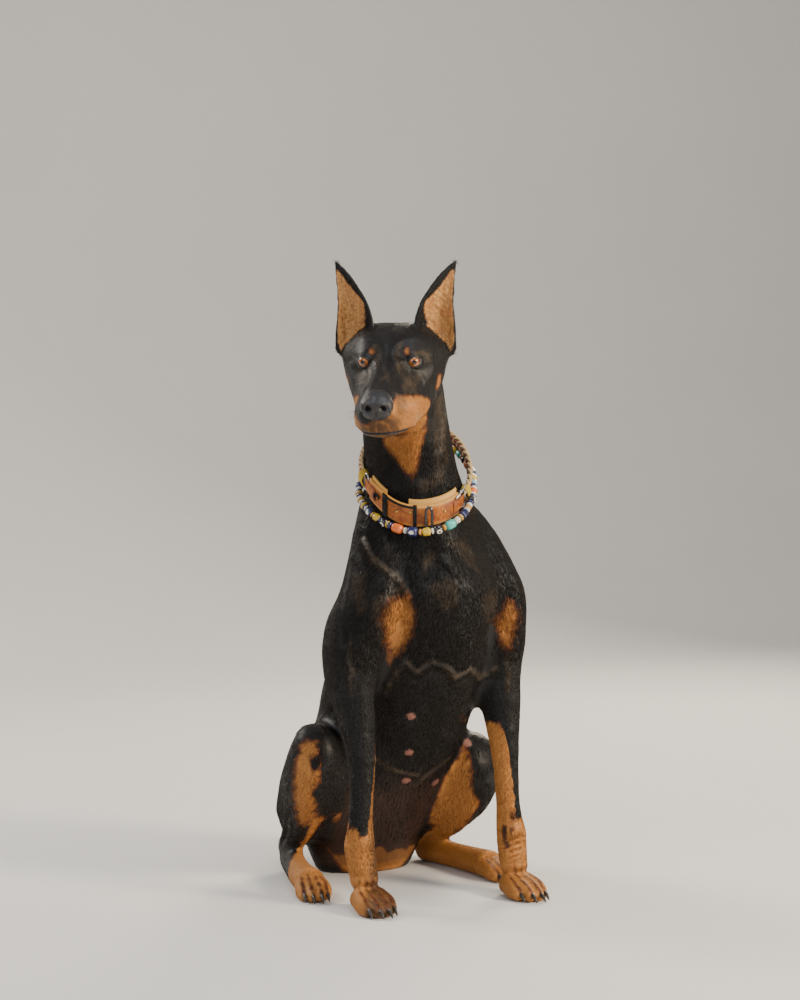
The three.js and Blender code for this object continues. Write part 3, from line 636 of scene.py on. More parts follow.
work = bmesh.new()
work.from_mesh(mesh_of("work", skin, skin_faces))
for level in (0, 1):
    work.verts.ensure_lookup_table()
    at = np.array([v.co[:] for v in work.verts])
    fine = wants_finer(at, level)
    chosen = [e for e in work.edges if fine[e.verts[0].index] and fine[e.verts[1].index]]
    bmesh.ops.subdivide_edges(work, edges=chosen, cuts=1, use_grid_fill=True)
    work.verts.index_update()
bmesh.ops.triangulate(work, faces=work.faces[:])
fine_mesh = bpy.data.meshes.new("fine")
work.to_mesh(fine_mesh)
work.free()
skin, skin_faces = read(fine_mesh)
edges = edges_of(skin_faces)
head_part = in_head(skin)
print("skin:", len(skin), "points,", len(skin_faces), "triangles")

# %% [markdown]
# The cells of the wrap have blurred the toes. A short ray from outside finds where each of
# their points should lie on the forms themselves.

# %% Toes drawn back onto their forms
normal = normals_of(skin, skin_faces)
paws = (skin[:, 1] < 40) | (np.abs(skin[:, 0]) > 108) & (skin[:, 1] < 135)
low = np.flatnonzero(paws & (skin[:, 2] < 46) & (skin[:, 2] > FLOOR + 0.3))
pulled = 0
for i in low:
    start = skin[i] + normal[i] * 3
    hit = form_tree.ray_cast(Vector(start), Vector(-normal[i]), 7)
    if hit[0] is not None:
        skin[i] = hit[0]
        pulled += 1
share = np.zeros((len(skin), 1))
share[low] = 0.35
for _ in range(3):
    skin = relaxed(skin, share * smooth(FLOOR, FLOOR + 4, skin[:, 2:]))
print(pulled, "of", len(low), "points of the paws drawn onto the toes")

# %% [markdown]
# The photo shows fine lines on her chest, where her hair meets in ridges, and muscles under the
# coat. Each is a line or a round bump on the skin: a point moves along its normal by an amount
# that fades with its distance. Those that the photo shows are given by their pixels.

# %% Muscles, ridges and tendons
skin_tree = BVHTree.FromPolygons(skin.tolist(), skin_faces.tolist())


def on_skin(*pixels):
    """The points of the skin that the camera sees at these pixels."""
    hits = [skin_tree.ray_cast(Vector(CAMERA_AT), Vector(ray_through(*p)))[0] for p in pixels]
    return np.array([hit[:] for hit in hits if hit is not None])


def line_distance(points, line):
    """Distance of each point to a line of several straight stretches."""
    nearest, line = np.full(len(points), 1e9), np.array(line, float)
    for a, b in zip(line[:-1], line[1:]):
        t = np.clip(((points - a) @ (b - a)) / max(((b - a) ** 2).sum(), 1e-9), 0, 1)
        off = points - a - t[:, None] * (b - a)
        nearest = np.minimum(nearest, np.sqrt((off**2).sum(1)))
    return nearest


def ridges(points, lines):
    """The sum of ridges or furrows, each its lift times exp(-(distance to its line / width)^2)."""
    lift = np.zeros(len(points))
    for height, width, line in lines:
        lift += height * np.exp(-((line_distance(points, line) / width) ** 2))
    return lift


BODY_SWELLINGS = [  # x, y, z, size, lift: muscles and bones under the coat
    (2, -34, 462, 20, 4), (104, -6, 424, 26, 4), (-98, -8, 432, 26, 4), (42, -22, 424, 24, 4),
    (-48, -22, 424, 24, 4), (0, -20, 386, 26, 3), (118, 84, 352, 24, 4), (-108, 84, 354, 24, 4),
    (96, 40, 470, 22, -3), (-86, 40, 474, 22, -3), (84, 300, 176, 30, 4), (-80, 300, 182, 30, 4),
    (150, 190, 150, 26, 4), (-152, 188, 176, 26, 4), (112, 210, 190, 22, 3), (122, 1, 92, 9, 2.5),
    (114, 1, 92, 9, 2.5), (122, 40, 92, 8, 4), (-114, 40, 92, 8, 4), (-114, 1, 92, 9, 2.5),
    (137, 22, 88, 8, 2), (-129, 22, 88, 8, 2), (3, 128, 600, 30, 3), (60, 130, 520, 26, 3),
    (-52, 130, 524, 26, 3), (80, 330, 210, 24, -3), (-76, 330, 214, 24, -3),
]
BODY_LINES = [  # lift, width, points in the dog's frame
    (3.0, 9, [(4, 128, 600), (6, 160, 556), (9, 214, 480), (12, 264, 388), (14, 318, 280)]),
    (-2.5, 9, [(30, 150, 560), (36, 208, 480), (40, 258, 390), (42, 308, 290)]),
    (-2.5, 9, [(-24, 150, 560), (-24, 208, 480), (-18, 258, 390), (-14, 308, 290)]),
    (2.0, 10, [(96, 60, 520), (108, 54, 470), (112, 40, 430)]),
    (2.0, 10, [(-86, 60, 520), (-98, 54, 470), (-102, 40, 430)]),
    (-2.0, 7, [(138, 40, 240), (134, 30, 180), (136, 24, 130)]),
    (-2.0, 7, [(102, 42, 240), (104, 32, 180), (106, 24, 130)]),
    (-2.0, 7, [(-126, 40, 240), (-122, 30, 180), (-128, 24, 130)]),
    (-2.0, 7, [(-90, 40, 240), (-92, 30, 180), (-98, 24, 130)]),
    (-3.0, 6, [(128, 270, 44), (140, 232, 62), (148, 200, 88)]),
    (-3.0, 6, [(-128, 272, 48), (-140, 236, 70), (-150, 204, 100)]),
    (-3.5, 8, [(150, 150, 176), (140, 190, 200), (126, 230, 214)]),
    (-3.5, 8, [(-152, 150, 204), (-142, 190, 224), (-126, 232, 232)]),
]
PHOTO_LINES = [  # lift, width, pixels
    (2.2, 6.0, [(363, 540), (373, 559.6), (387.5, 571.7), (400.8, 582.8), (409.7, 595)]),
    (2.2, 5, [(443, 557), (454, 574), (455, 603)]),
    (2.6, 5.0, [(387.5, 684.7), (405, 661.4), (416.3, 672.5), (434, 662.6), (447.3, 667),
              (456.2, 677), (469.5, 669.2), (480.5, 679.2), (493.8, 669.2)]),
    (2.0, 4, [(350, 662), (351, 680)]), (2.0, 4, [(506, 665), (507, 684)]),
    (2.4, 8, [(445, 390), (444, 420), (441, 455)]), (-2.2, 9, [(432, 545), (436, 600), (432, 645)]),
    (-2.5, 8, [(424, 450), (421, 475)]), (2.2, 4, [(374, 758), (396, 771), (417, 775)]),
    (2.2, 4, [(450, 757), (430, 772), (418, 785)]), (2.5, 5, [(479, 712), (462, 744)]),
    (-2.2, 8, [(498, 560), (508, 590), (505, 630)]), (-2.0, 7, [(352, 560), (346, 600), (344, 640)]),
]
normal = normals_of(skin, skin_faces)
lift = swelling(skin, BODY_SWELLINGS, mirrored=False) + ridges(skin, BODY_LINES)
lift += ridges(skin, [(*kind, on_skin(*pixels)) for *kind, pixels in PHOTO_LINES])
ribs = smooth(100, 150, skin[:, 1]) * smooth(300, 250, skin[:, 1])
ribs *= smooth(210, 270, skin[:, 2]) * smooth(470, 410, skin[:, 2]) * smooth(55, 85, abs(skin[:, 0]))
lift += 0.9 * ribs * np.sin(2 * np.pi * (skin[:, 1] * 0.86 + skin[:, 2] * 0.5) / 34)
lift *= smooth(3, 20, skin[:, 2])


def waves(points, size, seed, count=9):
    """Smooth noise from -1 to 1: the mean of sine waves in random directions."""
    rng = np.random.default_rng(seed)
    ways = rng.normal(size=(count, 3))
    ways *= rng.uniform(0.7, 1.5, (count, 1)) * 2 * np.pi / size
    ways /= np.linalg.norm(ways / (2 * np.pi / size), axis=1, keepdims=True) ** 0.5
    phase = rng.uniform(0, 2 * np.pi, count)
    return np.sin(points @ ways.T + phase).sum(1) / np.sqrt(count)


head_part = in_head(skin)
on_body = smooth(-60, -130, head_part[:, 2])
uneven = 0.45 * waves(skin, 60, 3) + 0.06 * waves(skin, 26, 4)
lift += on_body * uneven * smooth(60, 130, skin[:, 2])
skin += normal * lift[:, None]
print("muscles lift the skin by", lift.min().round(1), "to", lift.max().round(1), "mm")

# %% [markdown]
# The mouth is a fold, not a painted line. Along the line between the lips the skin sinks; the
# upper lip hangs over it a little, and the lower lip is tucked in. The same step gives the head
# its finer forms: the furrow of the brow, the bags below the eyes, the pads of the whiskers.

# %% Mouth and face
HEAD_LINES = [  # lift, width, points on the left side of the head, in its own frame
    (-1.0, 3.5, [(0, -20, 14), (0, 10, 26), (0, 40, 36)]),  # furrow between the brows
    (1.0, 4.5, [(14, -12, 12), (13, -40, 4), (13, -70, 0), (14, -96, -4)]),  # edges of the bridge
    (-1.1, 4.5, [(20, -18, 0), (23, -44, -8), (24, -74, -10)]),  # groove beside it
    (1.0, 4, [(22, -14, -6), (30, -8, -16), (42, 0, -19), (52, 10, -16)]),  # bag below the eye
    (-0.9, 3, [(22, -20, -10), (32, -14, -22), (46, -4, -26)]),
    (1.4, 5, [(44, -6, 12), (54, 8, 12), (60, 24, 6)]),  # bone behind the eye
    (-1.2, 6, [(58, 30, -4), (62, 44, -18), (60, 40, -50)]),  # before the chewing muscle
    (1.4, 4.5, [(48, 10, -66), (42, -12, -70), (36, -34, -71), (32, -60, -64)]),  # hanging lip
    (0.9, 4, [(30, -100, -36), (33, -80, -40), (36, -60, -44), (38, -44, -48)]),  # whisker pad
    (-0.7, 3, [(31, -98, -28), (33, -76, -30), (36, -54, -34)]),
]
face = smooth(-125, -95, head_part[:, 2]) * smooth(60, 42, head_part[:, 2])
lift = ridges(folded(head_part), HEAD_LINES)
d = lip_distance(head_part)
length_in = smooth(-36, -44, head_part[:, 1])
lift -= 3.4 * np.exp(-((d / 1.15) ** 2)) * length_in
lift += 1.3 * np.exp(-(((d - 4) / 3) ** 2)) * length_in
lift -= 0.8 * smooth(-1, -4, d) * smooth(-26, -14, d) * length_in
lift += 0.9 * np.exp(-(((d + 3.4) / 1.8) ** 2)) * length_in
lift -= 1.2 * np.exp(-((head_part[:, 0] / 1.6) ** 2)) * smooth(-100, -112, head_part[:, 1]) * (
    smooth(0, 4, d) * smooth(24, 12, d))  # the groove below the nose
lift += 0.12 * waves(head_part, 14, 8)
skin += normals_of(skin, skin_faces) * (lift * face)[:, None]
head_part = in_head(skin)
print("mouth and face: deepest fold", lift.min().round(1), "mm")

# %% [markdown]
# Each point near an ear is turned into the ear's own measures: how far along it lies, how far
# round its cup and how deep in its thickness. With them the hollow gets its folds and its bare
# colour, and the outside does not.

# %% Folds of the ears
def ear_measures(h):
    """For points in the head's frame: place along the ear from 0 to 1, place round the cup from
    -1 (inner edge) to 1, and depth in the blade, below 0 in the hollow. Solves the ear's formula
    backwards."""
    off = folded(h) - EAR_BASE
    u, v, w = off @ ear_along, off @ ear_across, off @ ear_open
    steps = np.linspace(-0.2, 1.1, 400)
    t, spread = 0.0, 0.0
    for _ in range(4):
        lower = ear_drop(spread) * (1 - t) ** 2
        t = np.interp(u + lower, steps * EAR_LENGTH - 20 * (1 - steps) ** 2, steps)
        angle = np.radians(EAR_CUP(t))
        radius = EAR_WIDTH(t) / (2 * np.sin(angle))
        side = v - EAR_SWEEP(t)
        up = radius * np.cos(angle) - (w - 6 * (1 - t))
        spread = np.arctan2(side, up) / angle
    return t, spread, np.hypot(side, up) - radius


along_ear, round_ear, depth_ear = ear_measures(head_part)
true_depth = EAR_THICK(along_ear) / 2 + 0.35
snapped = np.clip(depth_ear, -true_depth, true_depth)
snapped = np.where(np.abs(round_ear) < 0.93, np.sign(depth_ear) * true_depth, snapped)
on_blade = ear_arc(np.clip(along_ear, 0, 1), np.clip(round_ear, -1, 1), snapped)
on_blade[:, 0] *= np.where(head_part[:, 0] < 0, -1, 1)
share = smooth(0.14, 0.26, along_ear) * smooth(1.02, 0.96, along_ear)
share *= (np.abs(depth_ear) < 7) & (np.abs(round_ear) < 1.4)
skin += (on_head(on_blade) - skin) * share[:, None]
head_part = in_head(skin)
in_ear = smooth(0.02, 0.14, along_ear) * smooth(1.06, 0.99, along_ear)
in_ear *= smooth(1.3, 1.12, np.abs(round_ear)) * (np.abs(depth_ear) < 7)
hollow = in_ear * smooth(0.2, -0.6, depth_ear)
folds = np.sin(7.5 * round_ear + 5 * along_ear + 1.2 * waves(head_part, 30, 5))
folds = folds * smooth(0.7, 0.15, along_ear) + 0.5 * waves(head_part, 10, 6)
veins = np.exp(-((waves(head_part, 26, 7) / 0.15) ** 2)) * smooth(0.1, 0.3, along_ear)
lift = hollow * (1.1 * folds + 0.4 * veins) * smooth(0.98, 0.8, np.abs(round_ear))
skin += normals_of(skin, skin_faces) * lift[:, None]
head_part = in_head(skin)
print("ears: hollow points", int((hollow > 0.5).sum()))

# %% [markdown]
# An eyelid lies on the eyeball like a thin hood. Around each eye a point is measured by its
# angle from the gaze and divided by the width of the opening that way, which gives 1 at the
# lid's edge. Inside the edge the skin goes behind the ball, and outside it follows the ball at
# the lid's thickness, then runs out into the face.

# %% Eye sockets
OPENING = [  # mm along the ball from the gaze: outwards and up
    (-12.4, -4.8), (-6.8, 2.6), (-0.6, 6.3), (6.2, 6.0), (13.0, 3.0), (8.4, -3.6), (0.8, -6.3),
    (-6.4, -6.2)]
LID, EYE_LIFT = 0.85, np.radians(9)
lid_x, lid_y = loop_through(np.array(OPENING), 160).T
order = np.argsort(np.arctan2(lid_y, lid_x))
lid_way, lid_reach = np.arctan2(lid_y, lid_x)[order], np.hypot(lid_x, lid_y)[order]
gaze = np.array([np.sin(EYE_GAZE) * np.cos(EYE_LIFT), -np.cos(EYE_GAZE) * np.cos(EYE_LIFT),
                 np.sin(EYE_LIFT)])
gaze_across = np.array([np.cos(EYE_GAZE), np.sin(EYE_GAZE), 0])
gaze_up = np.cross(gaze_across, gaze)
gaze_up *= np.sign(gaze_up[2])


def reach_of_opening(way):
    return np.interp(way, lid_way, lid_reach, period=2 * np.pi)


def eye_measures(h):
    """Distance from the eyeball's middle, the unit vector from it, the way round the gaze and
    the share of the opening's reach."""
    off = folded(h) - EYE_AT
    far = np.linalg.norm(off, axis=1)
    out = off / far[:, None]
    a, b = out @ gaze_across, out @ gaze_up
    turn = np.arccos(np.clip(out @ gaze, -1, 1))
    way = np.arctan2(b, a)
    return far, out, way, turn, turn * EYE_RADIUS / reach_of_opening(way)


def lid_level(f, way):
    """Distance of the lid's surface from the ball's middle: thin at its edge, with a fold above
    the eye and a slighter one below."""
    fold = (0.28 + 0.2 * np.sin(way)) * np.exp(-(((f - 1.26) / 0.07) ** 2))
    edge = np.sqrt(np.clip((f - 0.98) / 0.12, 0, 1))
    return EYE_RADIUS + LID * edge + 0.7 * smooth(1.1, 1.5, f) - fold


side_of = np.where(head_part[:, 0] < 0, -1, 1)
far, out, way, turn, f = eye_measures(head_part)
close = (far < 32) & (turn < 2.2)
level = lid_level(f, way) - 0.4 - 3.6 * smooth(1.34, 1.1, f)
start = np.maximum(13.0, 1.26 * reach_of_opening(way))
blend = smooth(0, 1, (turn * EYE_RADIUS - start) / (25 - start))
target = level + (far - level) * blend
target = np.where(close, target, far)
moved = EYE_AT + out * target[:, None]
moved[:, 0] *= side_of
print("eye sockets: skin moved by", (target - far)[close].min().round(1), "to",
      (target - far)[close].max().round(1), "mm")
skin = np.where(close[:, None], on_head(moved), skin)
calm = (smooth(34, 27, near_eye(in_head(skin))) * smooth(1.2, 1.4, f) * close)[:, None]
for _ in range(10):
    skin = relaxed(skin, calm * 0.6)
head_part = in_head(skin)

# %% [markdown]
# Black-and-rust is a pattern with rules: rust above each eye, on the muzzle, the cheeks and the
# throat, on the chest, on the lower legs and under the tail, each patch with a soft, hairy edge.
# Every patch is a field over the skin, in millimetres: above 0 it is rust, below 0 black. The
# coat reads the same field later, so that hair and skin never disagree.

# %% Rust markings
def pixels_of(points):
    """Where the camera sees points of the dog's frame, in pixels."""
    seen = (points - CAMERA_AT) @ CAMERA_TURN
    return MIDDLE_PX - FOCAL * seen[:, 0] / seen[:, 2], MIDDLE_PY + FOCAL * seen[:, 1] / seen[:, 2]


def within(outline, px, py):
    """Distance in pixels to a closed outline, above 0 inside it."""
    a = np.array(outline, float)
    b = np.roll(a, -1, 0)
    across = b - a
    off = np.stack([px, py], -1)[:, None] - a
    t = np.clip((off * across).sum(-1) / (across**2).sum(-1), 0, 1)
    far = np.linalg.norm(off - t[..., None] * across, axis=-1).min(1)
    crossing = (a[:, 1] > py[:, None]) != (b[:, 1] > py[:, None])
    left_of = px[:, None] < a[:, 0] + off[..., 1] * across[:, 0] / np.where(
        across[:, 1] == 0, 1e-9, across[:, 1])
    return np.where((crossing & left_of).sum(1) % 2 == 1, far, -far)


def oval(points, at, size):
    """Distance inside an ellipsoid, roughly in its own millimetres."""
    size = np.array(size, float)
    return (1 - np.linalg.norm((points - at) / size, axis=1)) * size.min()


MM_PER_PIXEL = 1.36  # at the dog
print("one pixel at the dog is", MM_PER_PIXEL, "mm")

# %% [markdown]
# The edges of the rust on her front are outlines in the photo's pixels. On her head they are
# curves in the head's frame, because a muzzle is marked alike on both sides; only on her right side
# the muzzle's rust is cut lower, as painted shade.

# %% Outlines of the rust
MUZZLE_TOP = profile((-118, -19), (-106, -17), (-95, -15), (-75, -21), (-56, -27), (-30, -35),
                     (-5, -45), (10, -54), (20, -66), (29, -84), (36, -104), (60, -110))
THROAT_MIDDLE = profile((-125, 14), (-118, 12), (-85, 4), (-60, 0))
THROAT_HALF = profile((-125, 25), (-118, 27), (-95, 36), (-80, 44))
THROAT_IN_PHOTO = [(382, 434), (400, 434), (428, 426), (424, 441), (421, 455), (418, 468),
                   (413.5, 479), (407, 473), (399, 463), (391, 452), (384, 444)]
CHEST_LEFT_IN_PHOTO = [(406, 590), (415, 600), (417, 616), (413, 634), (405, 648), (396, 657),
                       (388, 665), (386, 648), (382, 630), (379, 614), (388, 600)]
CHEST_RIGHT_IN_PHOTO = [(500, 606), (508, 597), (517, 602), (520, 614), (517, 632), (511, 646),
                        (505, 652), (499, 642), (494, 624)]
THIGH_IN_PHOTO = [(464, 743), (470, 752), (472, 766), (474, 787), (474, 800), (468, 830),
                  (430, 838), (434, 815), (438, 799), (441, 787), (448, 776), (455, 760)]
KNEE_IN_PHOTO = [(300, 742), (310, 737), (319, 742), (321, 760), (321, 782), (314, 791),
                 (318, 806), (318, 826), (298, 826), (292, 800), (294, 765)]


print("outlines:", len(THROAT_IN_PHOTO), "points round the throat")

# %% [markdown]
# Where two patches meet, the larger of their fields holds, and where a patch has several edges,
# the smallest of the distances to them does. So each patch is a row of minima, and the dog is
# the maximum of her patches.

# %% Rust on the head
def rust_of_head(points, shown):
    """Muzzle and chin, throat, and the spots above the eyes and on the cheeks."""
    h = in_head(points)
    left = np.abs(h[:, 0])
    front_of_lip = smooth(13, 8, left) * smooth(-100, -108, h[:, 1]) * smooth(-70, -60, h[:, 2])
    # painted shade: on her right side, which lies in shade, the muzzle's rust is cut lower and black
    # put in its place
    right_muzzle_shade = 27 * smooth(-4, -14, h[:, 0]) * smooth(-30, -70, h[:, 1])
    muzzle = MUZZLE_TOP(h[:, 1]) - h[:, 2] - 14 * front_of_lip - right_muzzle_shade
    muzzle = np.minimum(muzzle, 40 - h[:, 1] - 0.3 * np.abs(h[:, 2] + 80))
    chin = smooth(-62, -66, h[:, 2]) * smooth(-76, -92, h[:, 1])
    muzzle = np.where(h[:, 2] < -78, np.minimum(muzzle, THROAT_HALF(h[:, 2]) + 8 - left), muzzle)
    muzzle = np.minimum(muzzle - 10 * chin, h[:, 2] + 108)
    throat = THROAT_HALF(h[:, 2]) - np.abs(h[:, 0] - THROAT_MIDDLE(h[:, 2]))
    throat = np.minimum(throat, np.minimum(h[:, 2] + 103, np.minimum(-84 - h[:, 2], 48 - h[:, 1])))
    below_jaw = within(THROAT_IN_PHOTO, *pixels_of(points)) * MM_PER_PIXEL
    throat = np.maximum(throat, np.minimum(below_jaw, np.minimum(shown, -88 - h[:, 2])))
    brow = 2.2 * oval(folded(h), [24, 0, 18.5], [6.2, 12, 9])
    cheek = oval(folded(h), [63, 34, -38], [12, 9, 14])
    head = np.maximum.reduce([muzzle, throat, brow, cheek])
    return np.where(h[:, 2] > -180, head, -20)


def rust_of_body(points, shown):
    """The two spots on the chest, the insides of the thighs, the lap and below the tail."""
    px, py = pixels_of(points)
    chest = np.maximum(within(CHEST_LEFT_IN_PHOTO, px, py), within(CHEST_RIGHT_IN_PHOTO, px, py))
    chest = 0.55 * (chest + 1.6 * waves(points, 9, 24))
    chest = np.minimum(chest, np.minimum(shown, 45 - points[:, 1]))
    hind = np.maximum(within(THIGH_IN_PHOTO, px, py), within(KNEE_IN_PHOTO, px, py))
    hind = 0.6 * (hind * MM_PER_PIXEL + 2.2 * waves(points, 12, 26))
    hind = np.minimum(hind, np.minimum(shown, points[:, 1] - 62))
    off_middle = np.abs(points[:, 0])
    lap = 0.5 * (44 - points[:, 2] - 0.12 * off_middle) + 6 * waves(points, 40, 23)
    lap = np.minimum(lap, np.minimum(88 - off_middle, 235 - points[:, 1]))
    lap = np.minimum(lap, points[:, 1] - 100)
    return np.maximum.reduce([chest, hind, lap, oval(points, [0, 392, 46], [34, 26, 26])])


print("the rust has", 4, "fields on the head and", 4, "on the body")

# %% [markdown]
# A foreleg is rust up its inner side and all round below the wrist. A hind leg is rust on the
# foot and on the inner side of the shank.

# %% Rust on the legs
INSIDE_TURN = {1: -0.06, -1: 0.36}  # how far round the black of the foreleg's front reaches
SHANK_TOP = {1: 176, -1: 104}


def rust_of_leg(points, normal, side, leg):
    """Foreleg, wrist, toes, hind foot and shank of one side."""
    x, y, z, wide = np.array(leg["fore"], float)[:6, :4].T
    off_x = points[:, 0] - np.interp(points[:, 2], z, x) * side
    off_y = points[:, 1] - np.interp(points[:, 2], z, y)
    far = np.hypot(off_x, off_y)
    inner, turn = -side * off_x / np.maximum(far, 1), INSIDE_TURN[side]
    top = 100 + 70 * smooth(turn - 0.2, turn + 0.2, inner)
    top = top + 78 * smooth(turn - 0.1, turn + 0.7, inner) + 5 * waves(points, 24, 28)
    reach = np.interp(points[:, 2], z, wide * 1.9)
    foreleg = np.minimum(top - points[:, 2], (reach + 12 - far) * 0.8)
    wrist = 106 + 9 * waves(points, 26, 30) + 0.5 * side * off_x - points[:, 2]
    wrist = 0.6 * np.minimum(wrist, np.minimum(52 - far, 40 - off_y))
    toes = np.minimum(60 - np.maximum(points[:, 2], np.abs(off_x)), 50 - points[:, 1])
    x, y = np.array(leg["foot"], float)[:, :2].T
    off_x = points[:, 0] - np.interp(points[:, 1], y, x) * side
    inner = -side * normal[:, 0]
    foot = np.minimum(58 - points[:, 2] + 26 * inner, 46 - np.abs(off_x))
    foot = np.minimum(foot, np.minimum(points[:, 1] - 58,
                                       16 + 16 * inner + 0.35 * (190 - points[:, 1])))
    shank = np.minimum(inner * 30 - 3, SHANK_TOP[side] - points[:, 2])
    shank = np.minimum(shank, np.minimum(points[:, 1] - 118, side * points[:, 0] - 70))
    return np.maximum.reduce([foreleg, wrist, toes, foot, shank])


def rust_field(points, normal):
    """Millimetres inside (above 0) or outside (below 0) the nearest rust patch."""
    shown = np.minimum(((normal @ towards) + 0.02) * 60, 30)
    fields = [rust_of_head(points, shown), rust_of_body(points, shown)]
    fields += [rust_of_leg(points, normal, side, leg) for side, leg in LEGS.items()]
    return np.clip(np.maximum.reduce(fields), -30, 30)


print("legs are rust up to", SHANK_TOP, "mm on the shanks")

# %% [markdown]
# Thin black lines run down the toes, as in every black-and-rust dog, and over her left wrist.

# %% Black lines in the rust
WRIST_LINES = ([(504, 827), (505, 836), (507, 846)], [(513, 812), (512, 830)])  # pixels
THUMB_MARK = [(311, 757), (319, 755), (320, 768), (313, 771)]
toe_lines = []
for paw, side, x, reach, g in claw_seats:
    spots = [(x * 1.04, reach - 3, g * 1.4), (x * 1.06, reach * 0.6, g * 3.0),
             (x * 0.85, 0, g * 3.9)]
    toe_lines.append(np.array([paw_place(paw, *spot) for spot in spots]) * [side, 1, 1])


def pencil_field(points):
    """Black lines on the toes and above the left wrist, again in millimetres."""
    field = np.full(len(points), -30.0)
    near = points[:, 2] < 60
    for line in toe_lines:
        flat = line_distance(points[near] * [1, 1, 0.35], line * [1, 1, 0.35])
        field[near] = np.maximum(field[near], 0.35 - flat)
    px, py = pixels_of(points)
    for line in WRIST_LINES:
        off = line_distance(np.stack([px, py], -1), line) * MM_PER_PIXEL
        field = np.maximum(field, np.where(points[:, 1] < 30, 1.0 - off, -30))
    thumb = within(THUMB_MARK, px, py) * MM_PER_PIXEL
    return np.maximum(field, np.where(points[:, 0] < -100, thumb, -30))


def markings(points, normal):
    field = np.minimum(rust_field(points, normal), -1.2 * pencil_field(points))
    return field + 0.9 * waves(points, 17, 21) + 0.6 * waves(points, 7, 22)


normal = normals_of(skin, skin_faces)
rust = markings(skin, normal)
print("rust covers", round(100 * float((rust > 0).mean())), "% of the skin's points")

# %% [markdown]
# Some skin is bare: the hollow of the ears, the lips, the nipples and the belly between her
# thighs. Each is a share from 0 to 1.

# %% Bare skin and nipples
NIPPLES = on_skin((409, 752), (406, 780), (435, 782), (467, 743), (411, 716))
lip_line = lip_distance(head_part)
lips = np.exp(-((lip_line / 3.0) ** 2)) * smooth(-32, -40, head_part[:, 1])
lips *= smooth(-126, -118, head_part[:, 2]) * smooth(40, 0, np.abs(lip_line))
belly = smooth(70, 96, skin[:, 1]) * smooth(190, 120, skin[:, 2]) * smooth(84, 60, abs(skin[:, 0]))
belly *= smooth(0.1, -0.5, normal[:, 1]) * smooth(8, 20, skin[:, 2])
lips = np.maximum(lips, smooth(5, 2.5, np.abs(lip_line + 1)) * smooth(-58, -48, head_part[:, 1])
                  * smooth(-34, -38, head_part[:, 1]))
# painted shade under and beside the nose, where shade falls, and the dark hair along the lips: both
# darken the rust
dusk = smooth(36, 20, np.abs(head_part[:, 0])) * smooth(-84, -102, head_part[:, 1])
dusk *= smooth(-28, -42, head_part[:, 2])
dusk = np.maximum(dusk, 0.75 * np.exp(-(((lip_line + 1.5) / 6) ** 2)) * (head_part[:, 1] < -30))
dusk = np.maximum(dusk, 0.6 * smooth(-3, 4, within(
    [(395, 393), (407, 395), (406, 415), (396, 417)], *pixels_of(skin))))
dusk = np.clip(dusk * (1 + 0.3 * waves(head_part, 9, 29)), 0, 1)
NIPPLE_SIZE, NIPPLE_LIFT = 5.0, 4.5
teat = np.zeros(len(skin))
for at in NIPPLES:
    teat = np.maximum(teat, np.exp(-(((skin - at) ** 2).sum(1)) / (2 * NIPPLE_SIZE**2)))
skin = skin + normal * (NIPPLE_LIFT * teat**2)[:, None]
EAR_FUR = profile((0, -0.5), (0.12, -0.35), (0.25, -0.3), (0.36, -0.55), (0.46, -0.8), (0.56, -0.5),
                  (0.7, -0.2), (0.85, 0.05), (1, 0.3))  # where the fur of the inner edge ends
past_fur = round_ear - EAR_FUR(along_ear) + 0.08 * waves(head_part, 8, 25)
bare_ear = hollow * smooth(-0.2, 0.26, past_fur) * smooth(0.98, 0.88, round_ear)
bare_ear *= smooth(0.97, 0.84, along_ear) * smooth(0.0, 0.09, along_ear)
for _ in range(3):
    bare_ear = mean_of_neighbours(bare_ear)
print("bare: ears", int((bare_ear > 0.5).sum()), "lips", int((lips > 0.5).sum()), "points")

# %% [markdown]
# A black coat in warm light shows a brown sheen where its hairs meet in ridges. That sheen is
# painted into the colour as a brown tint: around her eyes, on the ridges of her chest and down her
# neck.

# %% Painted brown sheen in the black
PAINTED_SHEEN_AREAS = [
    [(372, 345), (378, 344), (381, 352), (381, 360), (376, 368), (372, 364), (375, 356)],
    [(356, 370), (371, 370), (372, 376), (367, 385), (361, 385), (357, 378)],
    [(397, 343), (402, 342), (400, 352), (398, 360), (400, 367), (404, 373), (401, 376),
     (396, 369), (394, 359), (395, 350)],
    [(403, 378), (418, 375), (423, 369), (426, 369), (420, 379), (415, 387), (416, 393),
     (405, 394), (401, 385)],
    [(410, 352), (425, 351), (430, 354), (431, 361), (427, 362), (424, 356), (412, 356)],
    [(436, 400), (442, 392), (446, 420), (447, 460), (442, 480), (420, 492), (418, 484),
     (436, 470), (434, 440)],
    [(428, 588), (446, 576), (456, 580), (456, 605), (444, 607), (437, 598)],
    [(420, 562), (430, 551), (437, 552), (424, 572)], [(450, 540), (466, 538), (479, 572), (464, 560)],
    [(354, 572), (366, 570), (368, 600), (361, 616), (355, 600)],
    [(482, 592), (497, 586), (496, 606), (492, 624), (484, 610)],
    [(372, 600), (404, 586), (392, 598), (380, 612), (383, 640), (376, 620)],
]
PAINTED_SHEEN_LINES = [
    (1.6, [(363, 538), (372, 558), (385, 568), (398, 580), (408, 594)]),
    (1.6, [(386, 692), (399, 668), (408, 661), (416, 672), (430, 660), (442, 662), (456, 678),
           (470, 668), (480, 678), (494, 669)]),
    (0.6, [(384, 368), (386, 376), (379, 383)]), (0.6, [(388, 381), (387, 372)]),
    (1.2, [(374, 758), (396, 771), (417, 775)]), (1.2, [(450, 757), (430, 772), (418, 785)]),
    (1.5, [(350, 640), (352, 690)]), (1.5, [(508, 655), (507, 690)]),
]
px, py = pixels_of(skin)
sheen = np.zeros(len(skin))
